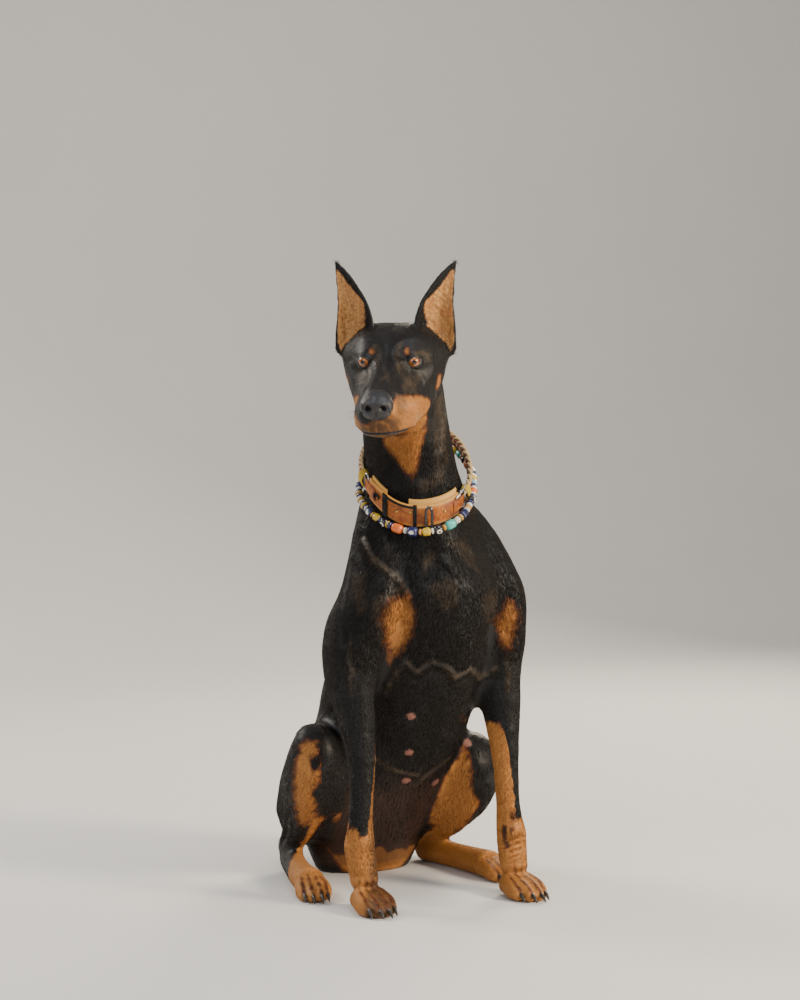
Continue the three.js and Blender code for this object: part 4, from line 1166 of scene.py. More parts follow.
for area in PAINTED_SHEEN_AREAS:
    sheen = np.maximum(sheen, smooth(-2.5, 2.5, within(area, px, py)))
for half, line in PAINTED_SHEEN_LINES:
    off = line_distance(np.stack([px, py], -1), line)
    sheen = np.maximum(sheen, smooth(half + 2, half - 0.5, off))
# painted highlight: the brown sheen is kept only where the skin faces the camera
sheen *= smooth(0, 0.2, normal @ towards) * (skin[:, 1] < 120)
sheen *= 0.62 + 0.38 * waves(skin, 13, 27)
sheen = np.clip(sheen, 0, 1)
print("brown sheen on", int((sheen > 0.5).sum()), "points")

# %% [markdown]
# Hair has a lie, the way that it points: back from the nose, down the neck and sides, forward
# on the feet. Each part of the dog has one direction, and smooth weights lead from one to the
# next.

# %% Lie of the coat
def comb_of(points, normal):
    """Unit vectors along the skin in the way that the hair points."""
    h = in_head(points)
    x, y, z = points.T
    way = np.stack([0.12 * np.sign(x) * smooth(0, 60, np.abs(x)), 0.25 + 0 * x, -1 + 0 * x], -1)
    back = smooth(0.1, 0.7, normal[:, 1] + 0.4 * normal[:, 2]) * smooth(110, 200, z)
    way = way * (1 - back[:, None]) + back[:, None] * np.array([0, 0.5, -0.85])
    flank = smooth(60, 130, y) * smooth(40, 80, np.abs(x)) * smooth(80, 160, z)
    way = way + flank[:, None] * np.array([0, 0.55, 0.1])
    foot = smooth(70, 40, z)
    way = way * (1 - foot[:, None]) + foot[:, None] * np.array([0, -1, -0.25])
    on_skull = smooth(-118, -92, h[:, 2]) * smooth(86, 66, h[:, 1])
    ahead = np.stack([0.25 * np.sign(h[:, 0]), 1 + 0 * x, -0.25 - 0.5 * smooth(20, 60, np.abs(h[:, 0]))
                      + 0.35 * smooth(-10, -60, h[:, 1])], -1) @ HEAD.T
    way = way * (1 - on_skull[:, None]) + ahead * on_skull[:, None]
    t, round_it, depth = ear_measures(h)
    ear_here = smooth(0.0, 0.15, t) * smooth(1.5, 1.2, np.abs(round_it)) * (np.abs(depth) < 9)
    up_ear = (ear_along * np.stack([np.sign(h[:, 0]), 1 + 0 * x, 1 + 0 * x], -1)) @ HEAD.T
    way = way * (1 - ear_here[:, None]) + up_ear * ear_here[:, None]
    way = way - normal * (way * normal).sum(1, keepdims=True)
    return way / np.maximum(np.linalg.norm(way, axis=1, keepdims=True), 1e-6)


comb = comb_of(skin, normal)
print("lie of the coat at", len(comb), "points")

# %% [markdown]
# The skin becomes a mesh with its fields as attributes, which the materials read, and with an
# unwrap of its own. The unwrap is only there for baking: the coat's tufts borrow their place
# on it.

# %% The skin's mesh
def new_piece(name, mesh, slot, *nodes):
    """An object for a finished mesh. It rides on the one body of a still model."""
    piece = bpy.data.objects.new(name, mesh)
    bpy.context.collection.objects.link(piece)
    mesh.shade_smooth()
    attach(piece, "root")
    if nodes:
        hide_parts(*nodes)
    return piece


def keep_values(mesh, name, values):
    """Stores a number for each point of a mesh under a name."""
    values = np.asarray(values, np.float32)
    kind = "FLOAT" if values.ndim == 1 else "FLOAT_VECTOR"
    attribute = mesh.attributes.new(name, kind, "POINT")
    attribute.data.foreach_set("value" if kind == "FLOAT" else "vector", values.ravel())


FLESH_NODES = [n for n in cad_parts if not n.startswith(("eye", "nose", "collar"))]
skin_mesh = mesh_of("dog_skin", placed(skin), skin_faces)
for name, values in (("rust", rust), ("ear", bare_ear), ("lips", lips), ("belly", belly),
                     ("teat", teat), ("sheen", sheen), ("dusk", dusk),
                     ("in_head_frame", head_part / 1000)):
    keep_values(skin_mesh, name, values)
dog_skin = new_piece("dog_skin", skin_mesh, "coat", *FLESH_NODES)
bpy.context.view_layer.objects.active = dog_skin
dog_skin.select_set(True)
bpy.ops.object.mode_set(mode="EDIT")
bpy.ops.mesh.select_all(action="SELECT")
bpy.ops.uv.smart_project(angle_limit=np.radians(60), island_margin=0.002)
bpy.ops.object.mode_set(mode="OBJECT")
dog_skin.select_set(False)
skin_mesh.uv_layers[0].name = "OFBake"
corner_uv = np.empty(2 * len(skin_mesh.loops), np.float32)
skin_mesh.uv_layers[0].uv.foreach_get("vector", corner_uv)
corner_uv = corner_uv.reshape(-1, 3, 2)
print("skin unwrapped, uv from", corner_uv.min().round(3), "to", corner_uv.max().round(3))

# %% [markdown]
# The lids themselves are rings of fine quads. A ring runs from the edge of the opening over the
# ball to just under the skin, and back below its own surface, so that it is closed like a tyre.

# %% Eyelids
def tyre(rows):
    """Points and quads of a grid that closes both ways."""
    points = rows.reshape(-1, 3)
    return points, outwards(points, grid_quads(len(rows) + 1, rows.shape[1]) % len(points))


def from_gaze(turn, way, far, side):
    """Points of the dog's frame at an angle from the gaze, a way round it, and a distance from the
    eyeball's middle."""
    across = gaze_across * np.cos(way)[..., None] + gaze_up * np.sin(way)[..., None]
    out = gaze * np.cos(turn)[..., None] + across * np.sin(turn)[..., None]
    return on_head((EYE_AT + out * far[..., None]) * [side, 1, 1])


LID_SHARES = np.array([0.955, 0.975, 1, 1.03, 1.07, 1.12, 1.17, 1.21, 1.25, 1.29, 1.33, 1.37,
                       1.41])  # of the opening's reach
SIDES = ((1, "left"), (-1, "right"))
for side, name in SIDES:
    way, f = np.meshgrid(np.linspace(0, 2 * np.pi, 121)[:-1], LID_SHARES)
    top = lid_level(f, way) + 0.06 - 0.9 * smooth(1.26, 1.41, f)
    top = np.where(f < 1, EYE_RADIUS + 0.05 + 12 * (f - 0.955) ** 2, top)
    lower = np.minimum(top - 1.0, EYE_RADIUS - 0.6 + 0.4 * f)
    f, way = np.concatenate([f, f[::-1]]), np.concatenate([way, way])
    turn = f * reach_of_opening(way) / EYE_RADIUS
    points, faces = tyre(from_gaze(turn, way, np.concatenate([top, lower[::-1]]), side))
    lid = mesh_of("eyelids_" + name, placed(points), faces)
    keep_values(lid, "share", f.ravel())
    new_piece("eyelids_" + name, lid, "skin")
print("lids:", len(points), "points each")

# %% [markdown]
# An eyeball isn't quite round: the clear cornea bulges in front of the iris. The ball is a grid
# of rings about the gaze. Each point keeps its angle and its way round as a map, so that the
# iris can be painted by distance from the pupil.

# %% Eyeballs
IRIS_TURN, PUPIL_TURN = 0.73, 0.20  # angles from the gaze, at the ball's middle
CORNEA, WHITE_SUNK = 0.9, 0.2  # mm that the clear part bulges, and the white lies deeper
for side, name in SIDES:
    turn = np.concatenate([np.linspace(0, 0.75, 26), np.linspace(0.82, np.pi, 22)])[1:-1]
    way, turn = np.meshgrid(np.linspace(0, 2 * np.pi, 65)[:-1], turn)
    far = EYE_RADIUS - WHITE_SUNK + CORNEA * (1 - smooth(0.1, 0.8, turn))
    poles = [on_head((EYE_AT + gaze * r) * [side, 1, 1]) for r in (EYE_RADIUS + 0.7, -EYE_RADIUS)]
    points, faces = closed(from_gaze(turn, way, far, side), *poles)
    ball = mesh_of("eyeball_" + name, placed(points), faces)
    flat = np.stack([turn * np.cos(way), turn * np.sin(way), 0 * turn], -1).reshape(-1, 3)
    keep_values(ball, "gaze", np.vstack([[0, 0, 0], flat, [np.pi, 0, 0]]))
    new_piece("eyeball_" + name, ball, "eye", "eye_" + name)
print("eyeballs:", len(points), "points each")

# %% [markdown]
# The nose pad is a soft leathery block. Its nostrils are pits that run out into a slit on either
# side, and a groove divides it below. All three are dents of a fine grid.

# %% Nose
NOSE = [(0, -100, -12, 12, 8, 9), (0, -108, -15, 17, 12, 14), (0, -116, -18.5, 21, 15, 18),
        (0, -124, -21, 22.3, 15.5, 19), (0, -130, -22, 20.5, 13.5, 17), (0, -134, -22, 16, 10, 13)]


def head_tube(stations, **options):
    """A tube through stations x, y, z, half width, up, down, made in the head's frame."""
    x, y, z, wide, up, down = np.array(stations, float).T
    none = 0 * x
    centre, side = np.stack([x, y, z], -1), np.stack([wide, none, none], -1)
    front = np.stack([none, none, up], -1)
    rings = np.concatenate([centre, side, front, (down / up)[:, None], none[:, None]], -1)
    return tube(rings, **options)


nose_points, nose_faces = head_tube(NOSE, around=120, along=9, ends=(4, 3), caps=10)
normal = normals_of(nose_points, nose_faces)
x, y, z = np.abs(nose_points[:, 0]), nose_points[:, 1], nose_points[:, 2]
pit = np.exp(-(((x - 11) / 4.4) ** 2 + ((z + 20.5) / 3.6) ** 2) ** 1.5) * smooth(-118, -126, y)
slit = line_distance(np.stack([x, y, z], -1), np.array(
    [(12.0, -134, -24), (17, -131, -27.5), (20.5, -125, -29), (22.5, -118, -28)]))
wing = np.exp(-(((x - 11) / 7) ** 2 + ((z + 15.5) / 3) ** 2)) * smooth(-118, -128, y)
depth = 7.5 * pit + 3.2 * np.exp(-((slit / 1.5) ** 2)) - 1.1 * wing
depth += 1.6 * np.exp(-((x / 1.1) ** 2)) * smooth(-22, -27, z) * smooth(-116, -124, y)
depth += 0.8 * np.exp(-((x / 3) ** 2)) * smooth(-16, -8, z)
depth += 0.12 * waves(nose_points, 9, 31)
nose_points = nose_points - normal * depth[:, None]
nose_mesh = mesh_of("nose_pad", placed(on_head(nose_points)), nose_faces)
keep_values(nose_mesh, "pit", np.clip(pit + np.exp(-((slit / 1.2) ** 2)), 0, 1))
new_piece("nose_pad", nose_mesh, "nose", "nose")
print("nose:", len(nose_points), "points")

# %% [markdown]
# Sixteen claws: each a short curved cone that comes out of the toe and points at the ground.

# %% Claws
claws = []
for paw, side, x, reach, g in claw_seats:
    stations = [
        (*paw_place(paw, x * 1.06, reach - 16.5, g * 0.36), 1.1, 1.1, 1.3),
        (*paw_place(paw, x * 1.055, reach - 13, g * 0.72), 1.9, 2.3, 2.4),
        (*paw_place(paw, x * 1.05, reach - 9, g * 0.98), 2.6, 3.2, 3.2),
        (*paw_place(paw, x * 1.04, reach, g * 1.2), 3, 3.6, 3.6),
    ]
    claws.append(tube(limb(stations, side), around=20, along=6, ends=(1.2, 2), caps=4))
claw_points, claw_faces, _ = joined(claws)
new_piece("claws", mesh_of("claws", placed(claw_points), claw_faces), "claw")
print("claws:", len(claws))

# %% [markdown]
# Whiskers are long single hairs, here three-sided and tapered. They grow on the muzzle, above
# the eyes and on the cheeks, and bend backwards.

# %% Whiskers
skin_tree = BVHTree.FromPolygons(skin.tolist(), skin_faces.tolist())
WHISKER_ROOTS = [  # left side, head's frame: place near the skin, way out, length
    ((32, -100, -34), (0.8, -0.1, -0.3), 20), ((36, -84, -40), (0.9, 0.1, -0.3), 24),
    ((31, -96, -44), (0.8, 0.0, -0.45), 18), ((35, -86, -47), (0.9, 0.1, -0.4), 22),
    ((37, -74, -48), (0.9, 0.2, -0.4), 22), ((30, -92, -53), (0.8, 0.1, -0.6), 17),
    ((24, 0, 24), (0.3, -0.4, 0.8), 14), ((28, 2, 22), (0.5, -0.3, 0.7), 12),
    ((58, 30, -44), (0.9, 0.2, -0.4), 14), ((14, -108, -74), (0.4, -0.5, -0.8), 12),
]


WHISKER_RADIUS, WHISKER_SUNK = 0.2, 1.0
WHISKER_BEND = HEAD @ np.array([0, 0.25, -0.12])  # as a share of the length


def whisker(root, way, length):
    """A closed three-sided hair. Its spine is root + way t + bend t^2, and its radius shrinks by
    four fifths on the way to the tip."""
    t = np.array([0, 0.3, 0.6, 0.85])[:, None]
    way = unit(way)
    side = unit(np.cross(way, [0.1, 0.2, 1]))
    angle = 2 * np.pi * np.arange(3)[:, None] / 3
    section = side * np.cos(angle) + np.cross(way, side) * np.sin(angle)
    spine = root + length * (way * t + WHISKER_BEND * t**2)
    rows = spine[:, None] + WHISKER_RADIUS * (1 - 0.8 * t)[..., None] * section
    return closed(rows, root, root + length * (way + WHISKER_BEND))


whiskers = []
for side in (1, -1):
    for at, way, length in WHISKER_ROOTS:
        near = skin_tree.find_nearest(Vector(on_head(np.array(at) * [side, 1, 1])))
        root = np.array(near[0]) - WHISKER_SUNK * np.array(near[1])
        whiskers.append(whisker(root, HEAD @ (np.array(way) * [side, 1, 1]), length))
whisker_points, whisker_faces, _ = joined(whiskers)
new_piece("whiskers", mesh_of("whiskers", placed(whisker_points), whisker_faces), "coat")
print("whiskers:", len(whiskers))

# %% [markdown]
# The collar is a ring round the neck. A point on it is given by its angle from the front,
# positive to her left, its distance outwards and its height. The ring is tilted down in front,
# rolled to one side, and sags a little at her right.

# %% The rings of the collar and of the beads
COLLAR = {"at": (-3, 78, 614), "wide": 73, "front": 91, "back": 68, "tilt": 33.5, "roll": 15,
          "dip": 6}
STRING = {"at": (-4, 78, 590), "wide": 77, "front": 113, "back": 76, "tilt": 27, "roll": 23,
          "dip": 0}


def on_ring(ring, angle, out=0, up=0):
    """Points of the dog's frame on a ring: an ellipse that is deeper in front, lifted by its
    slopes."""
    angle, out, up = np.broadcast_arrays(np.radians(angle), out, up)
    deep = np.where(np.cos(angle) > 0, ring["front"], ring["back"])
    x = (ring["wide"] + out) * np.sin(angle)
    y = -(deep + out) * np.cos(angle)
    slope = y * np.tan(np.radians(ring["tilt"])) + x * np.tan(np.radians(ring["roll"]))
    sag = ring["dip"] * np.exp(-(((angle + np.pi / 4) / np.radians(30)) ** 2))
    return np.stack([x, y, up + slope - sag], -1) + ring["at"]


def angle_seen(ring, px, py, out=3):
    """The angle at which the camera sees a ring nearest to a pixel, on its front half."""
    angles = np.linspace(-125, 95, 1200)
    at_x, at_y = pixels_of(on_ring(ring, angles, out))
    return angles[np.argmin(np.hypot(at_x - px, at_y - py))]


def band(ring, start, end, low, high, inner, outer, pieces=60, soft=1.2):
    """A strap along a ring. Its section is a rectangle with rounded corners."""
    angle = np.linspace(start, end, pieces)
    turn = np.radians(np.arange(0, 91, 30))
    corners = ((outer - soft, high - soft, 0), (inner + soft, high - soft, 1),
               (inner + soft, low + soft, 2), (outer - soft, low + soft, 3))
    section = np.vstack([np.stack([out + soft * np.cos(turn + n * np.pi / 2),
                                   up + soft * np.sin(turn + n * np.pi / 2)], -1)
                         for out, up, n in corners])
    out, up = section.T
    rows = on_ring(ring, angle[:, None], out, up)
    along = np.radians(angle - start) * ring["front"] * 0.95
    place = np.stack(np.broadcast_arrays(along[:, None], up, out), -1).reshape(-1, 3)
    ends = [[along[0], 0, 0], [along[-1], 0, 0]]
    points, faces = closed(rows, rows[0].mean(0), rows[-1].mean(0))
    return points, faces, np.vstack([ends[:1], place, ends[1:]])


def ringed(path, step, outward, radius, around):
    """Rings round a path, square to its steps, the first point of each to the side."""
    side = unit(np.cross(step, outward))[:, None]
    turn = 2 * np.pi * np.arange(around)[:, None] / around
    up = np.cross(side, step[:, None])
    return path[:, None] + radius * (side * np.cos(turn) + up * np.sin(turn))


def cord(path, outward, radius, around=12):
    """A round cord along a path. Its section stands square to the path, and its place is kept as
    length along and angle round."""
    step = unit(np.gradient(path, axis=0))
    size = np.broadcast_to(radius, len(path))[:, None, None]
    turn = 2 * np.pi * np.arange(around) / around
    rows = ringed(path, step, outward, size, around)
    along = np.concatenate([[0], np.cumsum(np.linalg.norm(np.diff(path, axis=0), axis=1))])
    place = np.stack(np.broadcast_arrays(along[:, None], turn, 0.0), -1).reshape(-1, 3)
    points, faces = closed(rows, path[0] - step[0] * size[0, 0] * 0.4,
                           path[-1] + step[-1] * size[-1, 0] * 0.4)
    return points, faces, np.vstack([[0, 0, 0], place, [along[-1], 0, 0]])


def outward_at(angle):
    """Unit vectors from the neck outwards at angles of the collar."""
    return unit(on_ring(COLLAR, angle, 10) - on_ring(COLLAR, angle))


def level_across(out):
    """The level unit vector square to a way out."""
    return unit(np.cross([0, 0, 1], out))


def closed_wire(path, outward, wire, around):
    """A wire of round section along a closed path."""
    step = unit(np.roll(path, -1, 0) - np.roll(path, 1, 0))
    return ringed(path, step, outward, wire, around)


def hoop(centre, across, upward, wire, around=10, pieces=72, square=1.0):
    """A closed wire loop: centre plus across times cos and upward times sin. A square above 1
    makes its outline boxy."""
    turn = 2 * np.pi * np.arange(pieces) / pieces
    c, s = np.cos(turn), np.sin(turn)
    c = np.sign(c) * np.abs(c) ** (1 / square)
    s = np.sign(s) * np.abs(s) ** (1 / square)
    path = centre + across * c[:, None] + upward * s[:, None]
    return closed_wire(path, np.cross(across, upward), wire, around)


def piece_of(name, shapes, slot, *nodes):
    """One piece from several shapes of points, faces and places, with the places kept."""
    points, faces, numbers = joined([(p, f) for p, f, _ in shapes])
    mesh = mesh_of(name, placed(points), faces)
    keep_values(mesh, "place", np.vstack([place for _, _, place in shapes]) / 1000)
    keep_values(mesh, "number", numbers)
    return new_piece(name, mesh, slot, *nodes)


def wire_piece(name, rows, slot, *nodes):
    """One piece from a closed wire."""
    points, faces = tyre(rows)
    return piece_of(name, [(points, faces, np.zeros((len(points), 3)))], slot, *nodes)


print("collar's lowest point", on_ring(COLLAR, np.arange(360))[:, 2].min().round(), "mm high")

# %% [markdown]
# The strap is a band of thick tooled leather with a lighter lining that stands up behind it. Two
# dark metal keepers hold it together, and a dark rod runs along its upper edge.

# %% Leather strap, keepers and rod
strap = [
    band(COLLAR, -80, 20, -14, 14, 0.6, 5, pieces=110, soft=1.5),
    band(COLLAR, -36, 19, -10, 19.5, -2.2, 0.7, pieces=70, soft=1.2),
    band(COLLAR, -79, -60, 4, 17.5, -2.0, 0.7, pieces=30, soft=1.2),
]
piece_of("collar_strap", strap, "leather", "collar_leather")
piece_of("keeper_side", [band(COLLAR, -62, -57, -15.5, 15.5, 4.6, 7, pieces=8, soft=0.7)],
         "dark_metal", "collar_keeper_side")
piece_of("keeper_front", [band(COLLAR, -31, -27.5, -16.5, 16.5, 4.6, 7.4, pieces=8, soft=0.7)],
         "dark_metal", "collar_keeper_front")
angle = np.linspace(-60, -29, 40)
rod = cord(on_ring(COLLAR, angle, 6.2, 13.4), outward_at(angle), 1.7)
eyelet_angle = angle_seen(COLLAR, 380, 494, 5)
eyelet_out = outward_at(eyelet_angle)
eyelet_along = level_across(eyelet_out)
eyelet_up = np.cross(eyelet_out, eyelet_along)
eyelet = hoop(on_ring(COLLAR, eyelet_angle, 6.0, 1), eyelet_along * 4.4, eyelet_up * 5.4, 1.4)


def dome(at, out, along, radius, height):
    """A low dome on a foot that is sunk 1 mm deep. At a turn t from its top the radius goes as
    sin(t) and the height as cos(t)."""
    turn = np.linspace(np.pi / 2, 0, 5)[:-1, None, None]
    ways = np.linspace(0, 2 * np.pi, 25)[:-1, None]
    spokes = along * np.cos(ways) + np.cross(out, along) * np.sin(ways)
    foot = (at - out + radius * spokes)[None]
    cap = at + out * height * np.cos(turn) + radius * np.sin(turn) * spokes
    points, faces = closed(np.concatenate([foot, cap]), at - out, at + out * height)
    return points, faces, np.zeros((len(points), 3))


hole = dome(on_ring(COLLAR, eyelet_angle, 4.9, 1), eyelet_out, eyelet_along, 3.6, 0.6)
piece_of("strap_rod", [rod, hole], "dark_metal")
wire_piece("eyelet", eyelet, "dark_metal")
RIVETS_IN_PHOTO = ((397, 512), (411, 513), (445, 512))
rivets = []
for px, py in RIVETS_IN_PHOTO:
    angle = angle_seen(COLLAR, px, py, 5)
    out = outward_at(angle)
    seen_py = pixels_of(on_ring(COLLAR, angle, 5.0)[None])[1][0]
    up = np.clip((seen_py - py) * MM_PER_PIXEL, -9, 9)
    rivets.append(dome(on_ring(COLLAR, angle, 5.0, up), out, level_across(out), 2.6, 1.3))
piece_of("rivets", rivets, "brass")
print("strap: eyelet at", eyelet_angle.round(1), "degrees,", len(rivets), "rivets")

# %% [markdown]
# A D loop hangs from the strap, and a steel ring on either side joins the leather to the plaited
# cord. All are wire loops, so one function makes them.

# %% Wire loops
D_ANGLE, D_HALF_HIGH = -16, 16.5
out = outward_at(D_ANGLE)
across, upward = np.cross([0, 0, 1], out) * 5.2 + out * 1.6, out * 1.5 + [0, 0, D_HALF_HIGH]
loop = hoop(on_ring(COLLAR, D_ANGLE, 9.6), across, upward, 1.9, square=1.4)
wire_piece("d_loop", loop, "steel", "collar_dring")
for angle, name in ((-87.0, "right"), (27.0, "left")):
    along = level_across(outward_at(angle))
    loop = hoop(on_ring(COLLAR, angle, 3), along * 6, np.array([0, 0, 11.0]), 1.7, square=1.25)
    wire_piece("joint_ring_" + name, loop, "steel", "collar_ring_" + name)
for at, name in ((-79, "right"), (19, "left")):
    fold = band(COLLAR, at - 7, at + 7, -7.5, 7.5, 4.4, 6.6, pieces=24, soft=1)
    piece_of("strap_fold_" + name, [fold], "leather")
angle = np.linspace(14, 30, 16)
lean = np.linspace(12, 19, 16)
pin = cord(on_ring(COLLAR, angle, 7.2, lean), outward_at(angle), np.linspace(1.4, 0.9, 16))
piece_of("pin", [pin], "steel")
print("wire loops: D loop", 2 * D_HALF_HIGH, "mm high")

# %% [markdown]
# The back of the collar is a plait of three strands, and each strand is a pair of cords, one
# cream and one maroon. In a plait every strand follows the same path, a third of a turn behind
# the one before: across goes as sin(t), and in and out as sin(2t).

# %% Plaited cord
PLAIT_START, PLAIT_END, PLAIT_TURN = 31.0, 269.0, 27.0
plait = []
length = np.radians(PLAIT_END - PLAIT_START) * 74
s = np.linspace(0, length, 560)
for strand in range(3):
    t = 2 * np.pi * (s / PLAIT_TURN + strand / 3)
    across, slope = 4.4 * np.sin(t), 4.4 * np.cos(t) * 2 * np.pi / PLAIT_TURN
    lift = 1.9 * np.sin(2 * t)
    tilt = np.hypot(1, slope)
    for which in (1, -1):
        up = across + which * 1.75 / tilt
        angle = PLAIT_START + (s - which * 1.75 * slope / tilt) / length * (PLAIT_END - PLAIT_START)
        path = on_ring(COLLAR, angle, 2.5 + lift, up)
        plait.append(cord(path, outward_at(angle), 2.05, around=10))
piece_of("plaited_cord", plait, "braid", "collar_braid")
whipping_at = angle_seen(COLLAR, 363.5, 478, 4)
whipping_at = whipping_at if whipping_at < -85 else -97
turns = np.linspace(0, 1, 420)
round_cord = 2 * np.pi * 7 * turns
whip = []
for at, spread, radius in ((whipping_at, 8.5, 1.05), (36, 6, 1.0)):
    angle = at + (turns - 0.5) * spread
    c, s = np.cos(round_cord), np.sin(round_cord)
    path = on_ring(COLLAR, angle, 2.5 + 6.6 * c, 8.2 * s)
    outward = outward_at(angle) * c[:, None] + np.array([0, 0, 1]) * s[:, None]
    whip.append(cord(path, outward, radius, around=8))
piece_of("whipping", whip, "braid")
print("plait:", len(plait), "cords, whipping at", round(float(whipping_at), 1), "degrees")

# %% [markdown]
# Below the collar hangs a string of glass and clay beads. A bead is a turned shape on the
# string's own line. Where the photo shows a bead, its pixel gives its angle; round the back the
# same kinds go on.

# %% Beads
NAVY, BLACK, WHITE = (0.012, 0.02, 0.10), (0.008, 0.008, 0.012), (0.75, 0.70, 0.60)
YELLOW, OCHRE, AMBER = (0.62, 0.40, 0.02), (0.42, 0.24, 0.03), (0.62, 0.28, 0.03)
ORANGE, TURQUOISE, PALE_BLUE = (0.80, 0.16, 0.02), (0.06, 0.46, 0.38), (0.30, 0.55, 0.66)
BEADS_IN_PHOTO = [  # pixel, length, radius, colour, eye (0 none, 1 an eye, 2 a patch)
    (474, 483, 9, 5.2, PALE_BLUE, 0), (472.5, 491, 9, 5.6, ORANGE, 0),
    (471.5, 499, 10, 6.2, BLACK, 1), (468, 507, 6, 4.6, AMBER, 0), (462.5, 513, 8, 5.4, NAVY, 0),
    (456.5, 517.5, 6, 5.0, WHITE, 0), (450.5, 524, 15, 6.6, TURQUOISE, 0),
    (444.8, 527.5, 4.5, 4.4, AMBER, 0), (438.5, 529, 12, 6.6, BLACK, 1),
    (432.3, 530.5, 4, 4.2, WHITE, 0), (426.5, 531, 12, 5.8, YELLOW, 0),
    (420.3, 531, 4.5, 4.6, AMBER, 0), (412.6, 530, 15, 6.9, NAVY, 2),
    (405.2, 529, 4.5, 4.4, WHITE, 0), (397, 527.5, 17, 6.6, ORANGE, 0),
    (389.8, 524.5, 5.5, 5.4, NAVY, 0), (384.3, 521.5, 10, 6.4, BLACK, 1),
    (376.5, 518, 12, 6.2, YELLOW, 0), (370.5, 511.5, 11, 6.6, NAVY, 2),
    (366.5, 503.5, 5, 6.0, YELLOW, 0), (364, 499, 5, 6.2, OCHRE, 0), (362, 494, 6, 6.2, OCHRE, 0),
    (360.5, 487, 11, 5.6, NAVY, 0),
]
angles = np.linspace(-180, 180, 721)
ring_points = on_ring(STRING, angles)
ring_length = np.concatenate([[0], np.cumsum(np.linalg.norm(np.diff(ring_points, axis=0), axis=1))])
beads = []
for px, py, size, radius, colour, eye in BEADS_IN_PHOTO:
    beads.append([np.interp(angle_seen(STRING, px, py, 5), angles, ring_length), size, radius,
                  colour, eye])
beads.sort(key=lambda bead: bead[0])
for bead, after in zip(beads, beads[1:]):  # neighbours don't run into each other
    bead_end, start = bead[0] + bead[1] / 2 + 0.3, after[0] - after[1] / 2
    if bead_end > start:
        after[0] += bead_end - start
SPACERS = ((OCHRE, 5.4), (NAVY, 5.0), (YELLOW, 5.2), (WHITE, 4.6))
for bead, after in zip(beads[:], beads[1:]):  # and a gap is filled with thin discs
    start = bead[0] + bead[1] / 2 + 0.3
    gap = after[0] - after[1] / 2 - start
    count = int(round(gap / 4.6))
    for k in range(count):
        colour, radius = SPACERS[(len(beads) + k) % 4]
        beads.append([start + gap * (k + 0.5) / count, gap / count - 0.3, radius, colour, 0])
beads.sort(key=lambda bead: bead[0])
place, turn_about = beads[-1][0] + beads[-1][1] / 2, 0
KINDS = [(11, 6.0, YELLOW, 0), (4.5, 4.5, WHITE, 0), (13, 6.4, NAVY, 2), (5, 4.8, AMBER, 0),
         (14, 6.2, ORANGE, 0), (10, 6.2, BLACK, 1), (5, 5.4, OCHRE, 0), (13, 6.3, TURQUOISE, 0)]
end = beads[0][0] - beads[0][1] / 2 + ring_length[-1]
while place + KINDS[turn_about % 8][0] + 0.4 < end:
    size, radius, colour, eye = KINDS[turn_about % 8]
    beads.append([(place + size / 2 + 0.3) % ring_length[-1], size, radius, colour, eye])
    place += size + 0.4
    turn_about += 1
shapes, colours, spots, eyes = [], [], [], []
for middle, size, radius, colour, eye in beads:
    t = np.linspace(-1, 1, 13)
    fat = radius * (1 - np.abs(t) ** 5 * 0.42) * np.where(np.abs(t) > 0.99, 0.62, 1)
    if eye == 1 or size < 7:
        fat = radius * np.sqrt(np.maximum(1 - (np.abs(t) * 0.86) ** 2.4, 0.05))
    angle = np.interp(middle, ring_length, angles)
    path = on_ring(STRING, np.interp(middle + t * size / 2, ring_length, angles))
    out = unit(on_ring(STRING, angle, 10) - on_ring(STRING, angle))
    step = unit(path[-1] - path[0])
    path = path[6] + step * (t * size / 2)[:, None]
    points, faces, _ = cord(path, out, fat, around=22)
    off = points - path[6]
    side = np.cross(out, step)
    shapes.append((points, faces))
    spots.append(np.stack([off @ step, off @ side, off @ out], -1))
    colours.append(np.repeat([colour], len(points), 0))
    eyes.append(np.full(len(points), float(eye)))
points, faces, _ = joined(shapes)
bead_mesh = mesh_of("bead_string", placed(points), faces)
keep_values(bead_mesh, "glaze", np.vstack(colours))
keep_values(bead_mesh, "spot", np.vstack(spots))
keep_values(bead_mesh, "eye", np.concatenate(eyes))
new_piece("bead_string", bead_mesh, "beads", "collar_beads")
thread_rows = on_ring(STRING, np.linspace(0, 360, 241)[:-1])
wire_piece("bead_thread", closed_wire(thread_rows, [0, 0, 1], 1.1, 8), "braid")
print("beads:", len(beads), "of which", len(BEADS_IN_PHOTO), "seen in the photo")

# %% [markdown]
# Her coat is short and lies flat. From a distance it is a sheen, but along the throat, the
# thighs and every edge of the body single tufts break the form. A tuft is a thin closed sliver:
# three points at its root and one at its tip. It follows the skin because the change of the
# skin's normal along the comb says how far the skin curves away below it.

# %% Sowing tufts
TUFTS_EACH = 49000
TUFT_TRIANGLES = np.array([(0, 2, 1), (0, 1, 3), (1, 2, 3), (2, 0, 3)])
TUFT_PATCH = np.array([(-1, -1), (1, -1), (0, -0.4), (0, 1)])

